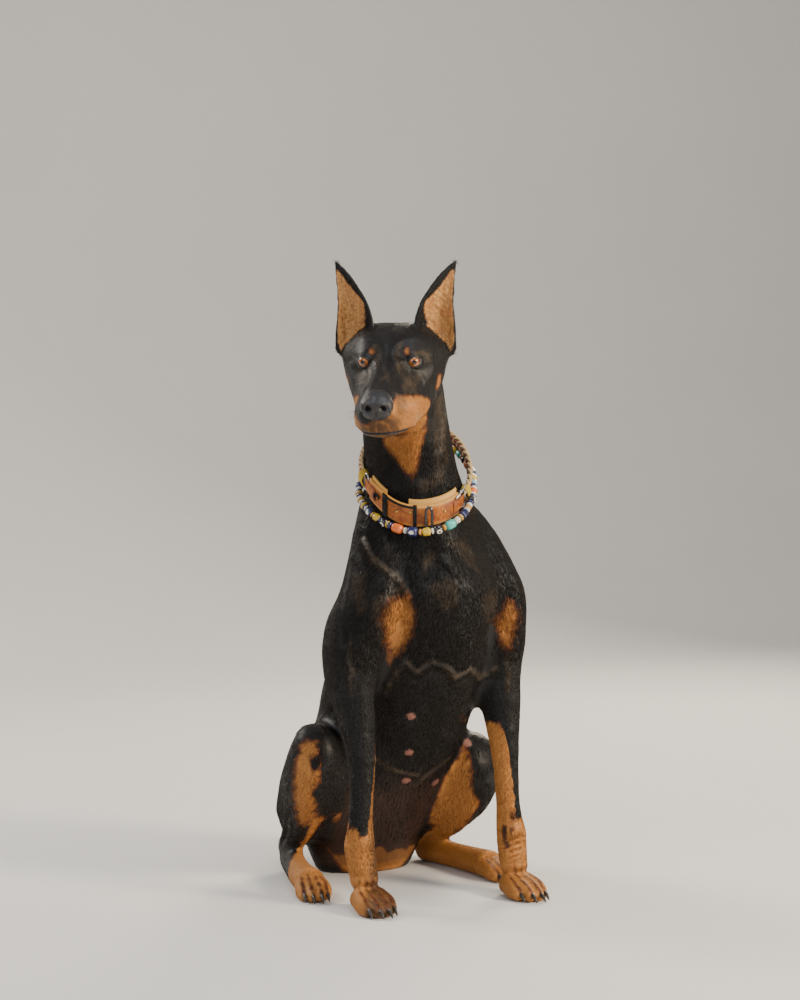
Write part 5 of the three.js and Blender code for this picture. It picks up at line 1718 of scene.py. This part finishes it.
even_normal = normals_of(skin, skin_faces)
for _ in range(4):
    even_normal = unit(mean_of_neighbours(even_normal) + even_normal)
comb = comb_of(skin, even_normal)
corner = skin[skin_faces]
face_area = np.linalg.norm(np.cross(corner[:, 1] - corner[:, 0], corner[:, 2] - corner[:, 0]),
                           axis=1) / 2
_, _, _, _, eye_share = eye_measures(head_part)
around_eye = smooth(1.55, 1.36, eye_share) * (near_eye(head_part) < 22)
around_nose = smooth(-92, -104, head_part[:, 1]) * smooth(-52, -40, head_part[:, 2])
around_nose *= smooth(28, 22, np.abs(head_part[:, 0]))
hairy = (1 - smooth(0.3, 0.6, bare_ear)) * (1 - smooth(0.2, 0.6, lips)) * (1 - 0.8 * belly)
hairy *= (1 - smooth(0.1, 0.4, teat)) * (1 - around_eye) * (1 - around_nose)
hairy *= smooth(3.5, 7, skin[:, 2])
spread = skin
for _ in range(6):
    spread = mean_of_neighbours(spread)
fold = ((spread - skin) * even_normal).sum(1)
print("folds deeper than", np.percentile(fold, (90, 97, 99, 99.7)).round(2), "mm")
hairy *= smooth(1.3, 0.6, fold)
print("skin area", round(face_area.sum() / 1e6, 2), "square metres")


def blended(values, faces, share):
    """A value of the skin's points, mixed at places inside its triangles."""
    return (values[faces] * share.reshape(share.shape + (1,) * (values.ndim - 1))).sum(1)


def sow(name, region, length, width, lift, seed):
    """One piece of coat: tufts spread evenly over the part of the skin where region is above 0.
    Length, width and lift are in millimetres, each a number or a value at every point."""
    rng = np.random.default_rng(seed)
    per_face = face_area * (region * hairy)[skin_faces].mean(1)
    total = np.cumsum(per_face)
    spots = (np.arange(TUFTS_EACH) + rng.random(TUFTS_EACH)) / TUFTS_EACH * total[-1]
    chosen = np.minimum(np.searchsorted(total, spots), len(total) - 1)
    faces = skin_faces[chosen]
    first, second = np.sqrt(rng.random(TUFTS_EACH)), rng.random(TUFTS_EACH)
    share = np.stack([1 - first, first * (1 - second), first * second], -1)
    root, out = blended(skin, faces, share), unit(blended(even_normal, faces, share))
    way = blended(comb, faces, share)
    way -= out * (way * out).sum(1, keepdims=True)
    way /= np.maximum(np.linalg.norm(way, axis=1, keepdims=True), 1e-6)
    across = np.cross(out, way)
    bent = root + 8 * np.stack([waves(root, 53, seed + k) for k in (2, 3, 4)], -1)
    clump = 0.12 * waves(bent, 24, seed) + 0.05 * waves(bent, 9, seed + 1)
    stray = (clump + np.radians(rng.normal(0, 6, TUFTS_EACH)))[:, None]
    c, s = np.cos(stray), np.sin(stray)
    way, across = way * c + across * s, across * c - way * s

    e1, e2 = corner[chosen, 1] - corner[chosen, 0], corner[chosen, 2] - corner[chosen, 0]
    g11, g12, g22 = (e1 * e1).sum(1), (e1 * e2).sum(1), (e2 * e2).sum(1)
    w1, w2 = (way * e1).sum(1), (way * e2).sum(1)
    det = np.maximum(g11 * g22 - g12**2, 1e-9)
    a, b = (w1 * g22 - w2 * g12) / det, (w2 * g11 - w1 * g12) / det
    n0, n1, n2 = (even_normal[faces[:, k]] for k in range(3))
    turning = ((a[:, None] * (n1 - n0) + b[:, None] * (n2 - n0)) * way).sum(1)
    turning = np.clip(turning, -1 / 40, 1 / 9)[:, None]

    def at_roots(value):
        value = np.asarray(value, float)
        return blended(value, faces, share) if value.ndim else np.full(TUFTS_EACH, value)

    long = (at_roots(length) * rng.uniform(0.7, 1.25, TUFTS_EACH))[:, None]
    wide = (at_roots(width) * rng.uniform(0.7, 1.3, TUFTS_EACH))[:, None]
    rise = (at_roots(lift) * rng.uniform(0.4, 1.5, TUFTS_EACH))[:, None]
    base = root - out * 0.35
    tip = root + way * long + out * (rise - turning * long**2 / 2)
    points = np.stack([base - across * wide / 2, base + across * wide / 2,
                       base + out * (0.35 + 0.32 * wide), tip], 1)
    points[..., 2] = np.maximum(points[..., 2], -SHIFT[2])
    triangles = TUFT_TRIANGLES[None] + 4 * np.arange(TUFTS_EACH)[:, None, None]
    mesh = mesh_of(name, placed(points.reshape(-1, 3)), triangles.reshape(-1, 3))
    values = {"rust": at_roots(rust) + rng.normal(0, 0.9, TUFTS_EACH),
              "tint": rng.random(TUFTS_EACH), "sheen": at_roots(sheen), "dusk": at_roots(dusk)}
    for key, value in values.items():
        keep_values(mesh, key, np.repeat(value, 4))
    keep_values(mesh, "reach", np.tile([0, 0, 0.2, 1.0], TUFTS_EACH))
    place = (corner_uv[chosen] * share[..., None]).sum(1)
    patch = (place[:, None] + 0.0015 * TUFT_PATCH).reshape(-1, 2)
    layer = mesh.uv_layers.new(name="OFBake")
    layer.uv.foreach_set("vector", patch[triangles.ravel()].astype(np.float32).ravel())
    new_piece(name, mesh, "coat")
    print(f"{name}: {TUFTS_EACH} tufts on {total[-1] / 100:.0f} square centimetres")


# %% [markdown]
# The coat is sown in six pieces, one for each part of the dog, so that no piece is too heavy.
# The tufts are finest on the face and the feet, and longest at the back of the thighs and the
# neck. Where the fur of the ears' roots and the breast stands up, they are lifted more.

# %% The coat
x, y, z = skin.T
head_here = smooth(-122, -112, head_part[:, 2]) * smooth(104, 92, head_part[:, 1])
foot_here = smooth(62, 52, z)
fore_here = smooth(345, 335, z) * (np.abs(x) > 58) * smooth(100, 90, y) * (1 - foot_here)
neck_here = smooth(498, 502, z) * (1 - head_here)
hind_here = smooth(268, 262, z) * smooth(88, 100, y) * (1 - foot_here) * (1 - fore_here)
trunk_here = (1 - head_here) * (1 - neck_here) * (1 - fore_here) * (1 - hind_here) * (1 - foot_here)
ears_here = smooth(0.08, 0.2, along_ear) * (np.abs(depth_ear) < 8) * (np.abs(round_ear) < 1.4)
ear_root = np.exp(-(((along_ear - 0.08) / 0.14) ** 2)) * (np.abs(round_ear) < 1.5)
ear_root *= (np.abs(depth_ear) < 12) * (depth_ear < 1)
face_size = 1 - 0.35 * smooth(-30, -90, head_part[:, 1]) - 0.25 * ears_here + 0.8 * ear_root
face_size *= 1 - 0.3 * smooth(30, 18, near_eye(head_part))
breast = 0.5 * smooth(30, -10, y) * smooth(330, 360, z) * smooth(480, 440, z)
sow("coat_head", head_here, 5.0 * face_size, 0.46 * face_size, 0.3 + 1.2 * ear_root, 101)
sow("coat_neck", neck_here, 9.0, 0.8, 0.5, 102)
sow("coat_trunk_front", trunk_here * smooth(121, 119, y), 9.5, 0.85, 0.5 + breast, 103)
sow("coat_trunk_back", trunk_here * smooth(119, 121, y), 10.5, 0.9, 0.55, 104)
sow("coat_forelegs", fore_here + foot_here * smooth(46, 40, y), 6.5 - 2.5 * foot_here,
    0.7 - 0.25 * foot_here, 0.32, 105)
sow("coat_hindlegs", hind_here + foot_here * smooth(40, 46, y), 9.5 - 4.5 * foot_here,
    0.95 - 0.4 * foot_here, 0.45, 106)

# %% [markdown]
# A material is a small sum worked out at every point of a surface. One class stands for a
# socket, so that sums are written as in Python, and one for a finish, whose single method adds
# any other node.

# %% Materials as expressions
class Amount:
    """A socket of a material. The signs + - and * on it add Math nodes."""

    def __init__(self, finish, socket):
        self.finish, self.socket = finish, socket

    def __add__(self, other):
        return self.finish.sum("ADD", self, other)

    def __radd__(self, other):
        return self.finish.sum("ADD", other, self)

    def __sub__(self, other):
        return self.finish.sum("SUBTRACT", self, other)

    def __rsub__(self, other):
        return self.finish.sum("SUBTRACT", other, self)

    def __mul__(self, other):
        return self.finish.sum("MULTIPLY", self, other)

    def __rmul__(self, other):
        return self.finish.sum("MULTIPLY", other, self)


class Finish:
    """A material on one Principled shader. Its even values are set on the shader itself."""

    def __init__(self, name, **even):
        self.material = bpy.data.materials.new(name)
        self.material.use_nodes = True
        self.tree = self.material.node_tree
        self.shader = self.tree.nodes["Principled BSDF"]
        for socket, value in even.items():
            self.shader.inputs[socket.replace("_", " ")].default_value = value

    def node(self, kind, settings=None, inputs=None, output=0):
        """Adds a node: first its settings, then the values or links of its sockets."""
        made = self.tree.nodes.new("ShaderNode" + kind)
        for name, value in (settings or {}).items():
            setattr(made, name, value)
        for name, value in (inputs or {}).items():
            if isinstance(value, Amount):
                self.tree.links.new(value.socket, made.inputs[name])
            else:
                made.inputs[name].default_value = value
        return Amount(self, made.outputs[output])

    def sum(self, operation, *values):
        return self.node("Math", {"operation": operation}, dict(enumerate(values)))

    def kept(self, name, output="Fac"):
        """A value that was stored on the mesh's points."""
        return self.node("Attribute", {"attribute_name": name}, output=output)

    def place(self):
        return self.node("TexCoord", output="Object")

    def scaled(self, vector, *scale):
        return self.node("VectorMath", {"operation": "MULTIPLY"}, {0: vector, 1: scale})

    def parts(self, vector):
        made = self.node("SeparateXYZ", inputs={0: vector}).socket.node
        return [Amount(self, socket) for socket in made.outputs]

    def noise(self, vector, scale, detail=2.0, rough=0.5, swirl=0.0):
        return self.node("TexNoise", inputs={"Vector": vector, "Scale": scale, "Detail": detail,
                                             "Roughness": rough, "Distortion": swirl})

    def step(self, value, low, high, start=0.0, end=1.0):
        """A smooth step from start below low to end above high."""
        return self.node("MapRange", {"interpolation_type": "SMOOTHSTEP"}, {
            "Value": value, "From Min": low, "From Max": high, "To Min": start, "To Max": end})

    def blend(self, share, one, other):
        """A colour between two colours."""
        one, other = (c if isinstance(c, Amount) else (*c, 1.0) for c in (one, other))
        return self.node("Mix", {"data_type": "RGBA"}, {0: share, 6: one, 7: other}, output=2)

    def bump(self, height, distance, strength=1.0, normal=None):
        inputs = {"Height": height, "Distance": distance, "Strength": strength}
        if normal:
            inputs["Normal"] = normal
        return self.node("Bump", inputs=inputs)

    def feed(self, **links):
        for socket, value in links.items():
            self.tree.links.new(value.socket, self.shader.inputs[socket.replace("_", " ")])

    def on(self, *names):
        for name in names:
            materials = bpy.data.objects[name].data.materials
            materials.clear()
            materials.append(self.material)


print("materials can be written as sums")

# %% [markdown]
# Skin and coat share their colours. The black is a warm near-black with browner hairs in it and
# a painted brown sheen, and the rust runs from mahogany at its edge to a lighter tan. On the skin,
# fine noise drawn out along the hair stands for the hairs between the tufts.

# %% Coat
BLACK_HAIR, BROWN_HAIR = (0.0055, 0.0050, 0.0052), (0.018, 0.0125, 0.0095)
# the dark and the pale brown of the painted sheen
SHEEN_BROWN, PALE_SHEEN_BROWN = (0.045, 0.030, 0.018), (0.135, 0.092, 0.052)
MAHOGANY, RUST, TAN = (0.11, 0.030, 0.008), (0.34, 0.120, 0.022), (0.55, 0.25, 0.062)
EVEN_COAT = {"Sheen_Weight": 0.06, "Sheen_Roughness": 0.35, "Specular_IOR_Level": 0.31,
             "Sheen_Tint": (0.62, 0.45, 0.30, 1.0)}


def coat_colour(finish, fleck):
    """Black or rust by the kept field, with a fleck from 0 to 1 that varies each."""
    f = finish
    field = f.kept("rust") + (f.noise(f.place(), 160, 3.0, 0.6) - 0.5) * 2.6
    black = f.blend(f.step(fleck, 0.52, 1.05), BLACK_HAIR, BROWN_HAIR)
    brown = f.blend(f.step(fleck, 0.25, 0.9), SHEEN_BROWN, PALE_SHEEN_BROWN)
    # painted highlight: the brown sheen tint mixed into the black
    black = f.blend(f.kept("sheen") * 0.75, black, brown)
    warm = f.blend(f.step(fleck, 0.2, 0.9), RUST, TAN)
    # painted shade under the nose, and the dark hair along the lips
    warm = f.blend(f.kept("dusk") * 0.9, warm, (0.060, 0.028, 0.012))
    warm = f.blend(f.step(field, 0.5, 5.0), MAHOGANY, warm)
    return f.blend(f.step(field, -0.9, 0.9), black, warm), field


f = Finish("coat_on_skin", **EVEN_COAT)
place = f.place()
skull = f.kept("in_head_frame", "Vector")
height_of_head = f.parts(skull)[2]
in_head_share = f.step(height_of_head, -0.13, -0.10)
down_hair = f.noise(f.scaled(place, 900, 900, 130), 1.0, 2.0)
back_hair = f.noise(f.scaled(skull, 1500, 230, 1500), 1.0, 2.0)
hair = down_hair + (back_hair - down_hair) * in_head_share
locks = f.noise(f.scaled(place, 110, 110, 34), 1.0, 3.0, swirl=0.6)
colour, field = coat_colour(f, hair * 0.7 + locks * 0.3)
flesh_noise = f.noise(place, 420, 4.0, 0.6)
vein = f.step(f.noise(f.scaled(skull, 60, 60, 26), 1.0, 2.0, swirl=1.2), 0.52, 0.60)
crease_shade = f.noise(f.scaled(skull, 150, 150, 46), 1.0, 2.0, 0.6, 1.5)
ear_flesh = f.blend(f.step(flesh_noise, 0.3, 0.7), (0.34, 0.135, 0.035), (0.62, 0.32, 0.105))
# painted shade: darker lines in the ear's hollow stand for the shade in its wrinkles
ear_flesh = f.blend(f.step(crease_shade, 0.40, 0.28) * 0.6, ear_flesh, (0.20, 0.062, 0.018))
ear_flesh = f.blend(vein * 0.35, ear_flesh, (0.40, 0.13, 0.045))
bare_share = f.kept("ear") + (hair - 0.5) * 0.5
colour = f.blend(f.step(bare_share, 0.3, 0.7), colour, ear_flesh)
lip_flesh = f.blend(flesh_noise, (0.007, 0.007, 0.009), (0.024, 0.024, 0.030))
colour = f.blend(f.step(f.kept("lips"), 0.35, 0.75), colour, lip_flesh)
belly_flesh = f.blend(flesh_noise, (0.035, 0.015, 0.011), (0.10, 0.045, 0.028))
colour = f.blend(f.kept("belly") * 0.55, colour, belly_flesh)
colour = f.blend(f.step(f.kept("teat"), 0.25, 0.6), colour, (0.25, 0.10, 0.075))
rough = 0.40 + locks * 0.16 + f.step(field, -1, 1) * 0.10
rough = rough + f.kept("ear") * 0.08 - f.kept("lips") * 0.05
relief = hair * 0.6 + locks * 0.3
f.feed(Base_Color=colour, Roughness=rough, Normal=f.bump(relief, 0.0006, 0.5))
f.on("dog_skin")

f = Finish("coat_tufts", **EVEN_COAT)
reach, tint = f.kept("reach"), f.kept("tint")
fine = f.noise(f.scaled(f.place(), 1400, 1400, 500), 1.0, 1.0)
# the tufts are lighter towards their tips: a painted highlight of the hair's sheen, with a random tone
# from tint
colour, field = coat_colour(f, tint * 0.5 + reach * 0.25 + fine * 0.25)
rough = 0.38 + tint * 0.16 + f.step(field, -1, 1) * 0.08
f.feed(Base_Color=colour, Roughness=rough, Normal=f.bump(fine, 0.0002, 0.4))
f.on("coat_head", "coat_neck", "coat_trunk_front", "coat_trunk_back", "coat_forelegs",
     "coat_hindlegs")
print("coat: black", BLACK_HAIR, "and rust", RUST)

# %% [markdown]
# The eyes are amber. The iris has fibres that run out from the pupil and a dark rim, and the
# wet surface is a clear coat over it.

# %% Eyes and lids
f = Finish("amber_eye", Roughness=0.08, Coat_Weight=1.0, Coat_Roughness=0.02, IOR=1.4)
gaze_map = f.kept("gaze", "Vector")
off = f.node("VectorMath", {"operation": "LENGTH"}, {0: gaze_map}, output="Value")
direction = f.node("VectorMath", {"operation": "NORMALIZE"}, {0: gaze_map})
fibres = f.noise(direction, 9.0, 3.0, 0.7)
iris = f.blend(fibres, (0.17, 0.045, 0.010), (0.46, 0.165, 0.030))
iris = f.blend(f.step(off, PUPIL_TURN + 0.02, PUPIL_TURN + 0.16), (0.13, 0.033, 0.009), iris)
iris = f.blend(f.step(off, IRIS_TURN - 0.14, IRIS_TURN - 0.02), iris, (0.022, 0.009, 0.005))
white = f.blend(f.noise(gaze_map, 14, 3.0), (0.035, 0.016, 0.012), (0.13, 0.075, 0.055))
colour = f.blend(f.step(off, IRIS_TURN, IRIS_TURN + 0.06), iris, white)
colour = f.blend(f.step(off, PUPIL_TURN - 0.02, PUPIL_TURN + 0.015), (0.002, 0.002, 0.002), colour)
f.feed(Base_Color=colour)
f.on("eyeball_left", "eyeball_right")

f = Finish("black_lid", Specular_IOR_Level=0.4)
grain = f.noise(f.place(), 1500, 3.0)
rim = f.step(f.kept("share"), 1.03, 1.25)
f.feed(Base_Color=f.blend(grain, (0.006, 0.005, 0.005), (0.018, 0.014, 0.012)),
       Roughness=0.28 + rim * 0.25, Normal=f.bump(grain, 0.0003, 0.5))
f.on("eyelids_left", "eyelids_right")

# %% [markdown]
# A dog's nose is a pavement of small flat cells. A Voronoi pattern gives the joints between
# them, and each cell catches the light at its own angle.

# %% Nose, claws and whiskers
f = Finish("nose_leather", Specular_IOR_Level=0.6)
place = f.place()
cells = f.node("TexVoronoi", {"feature": "DISTANCE_TO_EDGE"}, {"Vector": place, "Scale": 880.0})
joints = f.step(cells, 0.0, 0.16)
damp = f.noise(place, 90, 2.0)
colour = f.blend(joints, (0.007, 0.006, 0.007), (0.016, 0.0145, 0.0165))
colour = f.blend(f.kept("pit") * 0.6, colour, (0.012, 0.005, 0.005))
f.feed(Base_Color=colour, Roughness=0.30 + damp * 0.22, Normal=f.bump(joints, 0.0003, 0.32))
f.on("nose_pad")

f = Finish("claw_horn", Specular_IOR_Level=0.5)
bands = f.noise(f.scaled(f.place(), 500, 90, 500), 1.0, 3.0)
f.feed(Base_Color=f.blend(bands, (0.010, 0.009, 0.008), (0.060, 0.045, 0.035)),
       Roughness=0.25 + bands * 0.25, Normal=f.bump(bands, 0.0003, 0.4))
f.on("claws")

f = Finish("whisker", Specular_IOR_Level=0.5)
shade = f.noise(f.place(), 300, 2.0)
f.feed(Base_Color=f.blend(shade, (0.010, 0.009, 0.009), (0.05, 0.045, 0.04)),
       Roughness=0.35 + shade * 0.1)
f.on("whiskers")
print("face finished")

# %% [markdown]
# Harness leather is dyed on its face and pale where it is cut or rubbed. The kept place tells
# how far along the strap a point lies and how high, so that the tooled scrolls, the stitches
# and the worn edges follow the strap.

# %% Leather
f = Finish("tooled_leather", Specular_IOR_Level=0.5)
along, high, out = f.parts(f.kept("place", "Vector"))
which = f.kept("number")
place = f.place()
grain = f.noise(place, 900, 4.0, 0.6)
tone = f.noise(place, 70, 4.0, 0.6, 0.4)
edge = f.sum("ABSOLUTE", high)
worn = f.step(edge + tone * 0.002, 0.0120, 0.0142)
swirl = f.noise(f.node("CombineXYZ", inputs={0: along, 1: high, 2: which}), 210, 1.0, swirl=1.4)
scroll = f.step(f.sum("ABSOLUTE", swirl - 0.5), 0.012, 0.05, 1.0, 0.0)
tooled = scroll * f.step(edge, 0.0098, 0.0085) * f.step(which, 0.5, 0.4)
dash = f.step(f.sum("PINGPONG", along, 0.0021), 0.0006, 0.0009)
stitch = dash * f.step(f.sum("ABSOLUTE", edge - 0.0108), 0.0006, 0.0003)
stitch = stitch * f.step(which, 0.5, 0.4)
face = f.blend(f.step(tone, 0.3, 0.7), (0.24, 0.052, 0.006), (0.56, 0.165, 0.016))
face = f.blend(tooled * 0.6, face, (0.10, 0.022, 0.005))
face = f.blend(stitch * 0.8, face, (0.52, 0.27, 0.08))
lining = f.blend(tone, (0.40, 0.19, 0.035), (0.66, 0.36, 0.085))
colour = f.blend(f.step(which, 0.4, 0.6), face, lining)
colour = f.blend(worn * 0.8, colour, (0.62, 0.33, 0.07))
f.feed(Base_Color=colour, Roughness=0.30 + grain * 0.2 + worn * 0.1,
       Normal=f.bump(grain * 0.25 - tooled * 0.9 + stitch * 0.8, 0.0006, 0.7))
f.on("collar_strap", "strap_fold_left", "strap_fold_right")

# %% [markdown]
# Three metals: blackened keepers, rubbed bright in patches, brushed steel loops, and brass
# rivets with some tarnish.

# %% Metals
f = Finish("black_metal", Metallic=0.7)
wear = f.noise(f.place(), 260, 4.0, 0.65)
f.feed(Base_Color=f.blend(f.step(wear, 0.55, 0.8), (0.012, 0.012, 0.012), (0.13, 0.12, 0.10)),
       Roughness=0.32 + wear * 0.2, Normal=f.bump(wear, 0.0002, 0.4))
f.on("keeper_side", "keeper_front", "strap_rod", "eyelet")


def brushed_steel(name, fineness, dark, light, smoothest, spread):
    """Steel wire with fine marks round it, two greys and a span of roughness."""
    f = Finish(name, Metallic=1.0)
    brush = f.noise(f.scaled(f.place(), 300, 300, fineness), 1.0, 3.0)
    f.feed(Base_Color=f.blend(brush, dark, light), Roughness=smoothest + brush * spread,
           Normal=f.bump(brush, 0.00012, 0.4))
    return f


brushed_steel("steel_wire", 2200, (0.30, 0.30, 0.31), (0.62, 0.61, 0.60), 0.18, 0.22).on(
    "joint_ring_left", "joint_ring_right", "pin")
brushed_steel("dark_steel", 1500, (0.045, 0.045, 0.05), (0.16, 0.16, 0.17), 0.16, 0.16).on(
    "d_loop")
f = Finish("old_brass", Metallic=1.0)
tarnish = f.noise(f.place(), 700, 3.0)
f.feed(Base_Color=f.blend(tarnish, (0.30, 0.17, 0.05), (0.80, 0.55, 0.18)),
       Roughness=0.2 + tarnish * 0.25)
f.on("rivets")

# %% [markdown]
# The cords are spun thread. A fine slanted wave along each cord is its twist. The plait's six
# cords are cream and maroon in turn.

# %% Cords
def spun(name, light, dark, other_light=None, other_dark=None):
    """Spun thread in one colour, or in two that take turns by the cord's number."""
    f = Finish(name, Sheen_Weight=0.2, Sheen_Roughness=0.5, Specular_IOR_Level=0.25)
    along, turn, _ = f.parts(f.kept("place", "Vector"))
    twist = f.sum("SINE", along * 5200.0 + turn * 3000.0)
    fuzz = f.noise(f.place(), 1200, 3.0)
    # the colour follows the twist, a painted shade in its grooves, and the fuzz, a random tone
    shade = f.step(twist * 0.35 + fuzz, 0.0, 1.1)
    colour = f.blend(shade, dark, light)
    if other_light:
        odd = f.sum("MODULO", f.kept("number"), 2.0)
        colour = f.blend(f.step(odd, 0.4, 0.6), colour, f.blend(shade, other_dark, other_light))
    f.feed(Base_Color=colour, Roughness=0.75 + fuzz * 0.2,
           Normal=f.bump(twist * 0.5 + fuzz * 0.4, 0.0004, 0.8))
    return f


spun("plait_thread", (0.72, 0.55, 0.30), (0.42, 0.27, 0.10),
     (0.36, 0.075, 0.060), (0.15, 0.022, 0.022)).on("plaited_cord")
spun("yellow_thread", (0.80, 0.58, 0.05), (0.50, 0.30, 0.02)).on("whipping")
spun("dark_thread", (0.10, 0.07, 0.05), (0.03, 0.02, 0.02)).on("bead_thread")

# %% [markdown]
# The beads are glazed. Their colour is stored on the mesh, and the eyes and patches are painted
# by the distance from the point that faces away from the neck.

# %% Beads' glaze
f = Finish("bead_glaze", Coat_Weight=0.6, Coat_Roughness=0.08)
step_x, side_x, out_x = f.parts(f.kept("spot", "Vector"))
eye = f.kept("eye")
speckle = f.noise(f.place(), 1500, 3.0, 0.7)
mottle = f.noise(f.place(), 240, 3.0)
glaze = f.blend(f.step(speckle, 0.55, 0.8) * 0.35, f.kept("glaze", "Color"), (0.02, 0.015, 0.012))
glaze = f.blend(f.step(mottle, 0.55, 0.75) * 0.18, glaze, (0.8, 0.7, 0.55))
off = f.sum("SQRT", step_x * step_x + side_x * side_x)
front = f.step(out_x, 0.5, 1.2)
ring = f.step(off, 3.9, 3.5) * f.step(off, 1.7, 2.1) * front
is_eye = f.step(f.sum("ABSOLUTE", eye - 1.0), 0.3, 0.2)
is_patch = f.step(eye, 1.5, 1.7)
colour = f.blend(ring * is_eye, glaze, (0.82, 0.78, 0.70))
oval_off = f.sum("SQRT", step_x * step_x * 0.32 + (side_x - 2.6) * (side_x - 2.6) * 0.9)
colour = f.blend(f.step(oval_off, 2.3, 2.0) * is_patch * front, colour, (0.80, 0.75, 0.66))
f.feed(Base_Color=colour, Roughness=0.16 + mottle * 0.14, Normal=f.bump(speckle, 0.0002, 0.35))
f.on("bead_string")
print("collar finished")

# %% [markdown]
# A plain studio: a pale floor that curves up behind, a warm key light low on the right as the
# evening sun was, a cool fill and a rim light that draws the black dog off the background.

# %% Studio
curve = np.linspace(0, np.pi / 2, 17)
profile_y = np.concatenate([[-5.0], 2.2 + 1.6 * np.sin(curve), [3.8]])
profile_z = np.concatenate([[0.0], 1.6 - 1.6 * np.cos(curve), [5.5]])
wide = np.array([-7.0, 7.0])
points = np.stack([np.repeat(wide[None], len(profile_y), 0), np.repeat(profile_y[:, None], 2, 1),
                   np.repeat(profile_z[:, None], 2, 1)], -1).reshape(-1, 3)
k = 2 * np.arange(len(profile_y) - 1)
backdrop_mesh = mesh_of("backdrop", points, np.stack([k, k + 1, k + 3, k + 2], -1))
backdrop_mesh.shade_smooth()
backdrop = bpy.data.objects.new("backdrop", backdrop_mesh)
bpy.context.collection.objects.link(backdrop)
f = Finish("pale_floor", Specular_IOR_Level=0.2, Roughness=0.85)
f.feed(Base_Color=f.blend(f.noise(f.place(), 3.0, 4.0), (0.70, 0.685, 0.66), (0.75, 0.735, 0.71)))
backdrop_mesh.materials.append(f.material)
world = bpy.data.worlds.new("studio")
bpy.context.scene.world = world
world.use_nodes = True
world.node_tree.nodes["Background"].inputs["Color"].default_value = (0.92, 0.95, 1.0, 1)
world.node_tree.nodes["Background"].inputs["Strength"].default_value = 0.34
LAMPS = [  # place, size, watts, colour
    ((1.7, -2.4, 1.6), 0.8, 120, (1.0, 0.86, 0.66)), ((-2.6, -2.0, 1.9), 1.8, 30, (0.92, 0.96, 1)),
    ((-1.6, 2.0, 2.2), 1.0, 60, (1.0, 0.93, 0.85)), ((1.8, 1.6, 1.6), 0.8, 50, (1.0, 0.88, 0.68)),
    ((0.0, -1.2, 3.0), 1.4, 34, (0.95, 0.97, 1)),
]
for at, size, watts, colour in LAMPS:
    light = bpy.data.lights.new("studio_light", "AREA")
    light.size, light.energy, light.color = size, watts, colour
    lamp = bpy.data.objects.new("studio_light", light)
    bpy.context.collection.objects.link(lamp)
    lamp.location = at
    lamp.rotation_euler = (Vector((0, 0, 0.5)) - Vector(at)).to_track_quat("-Z", "Y").to_euler()
print("studio:", len(LAMPS), "lights")
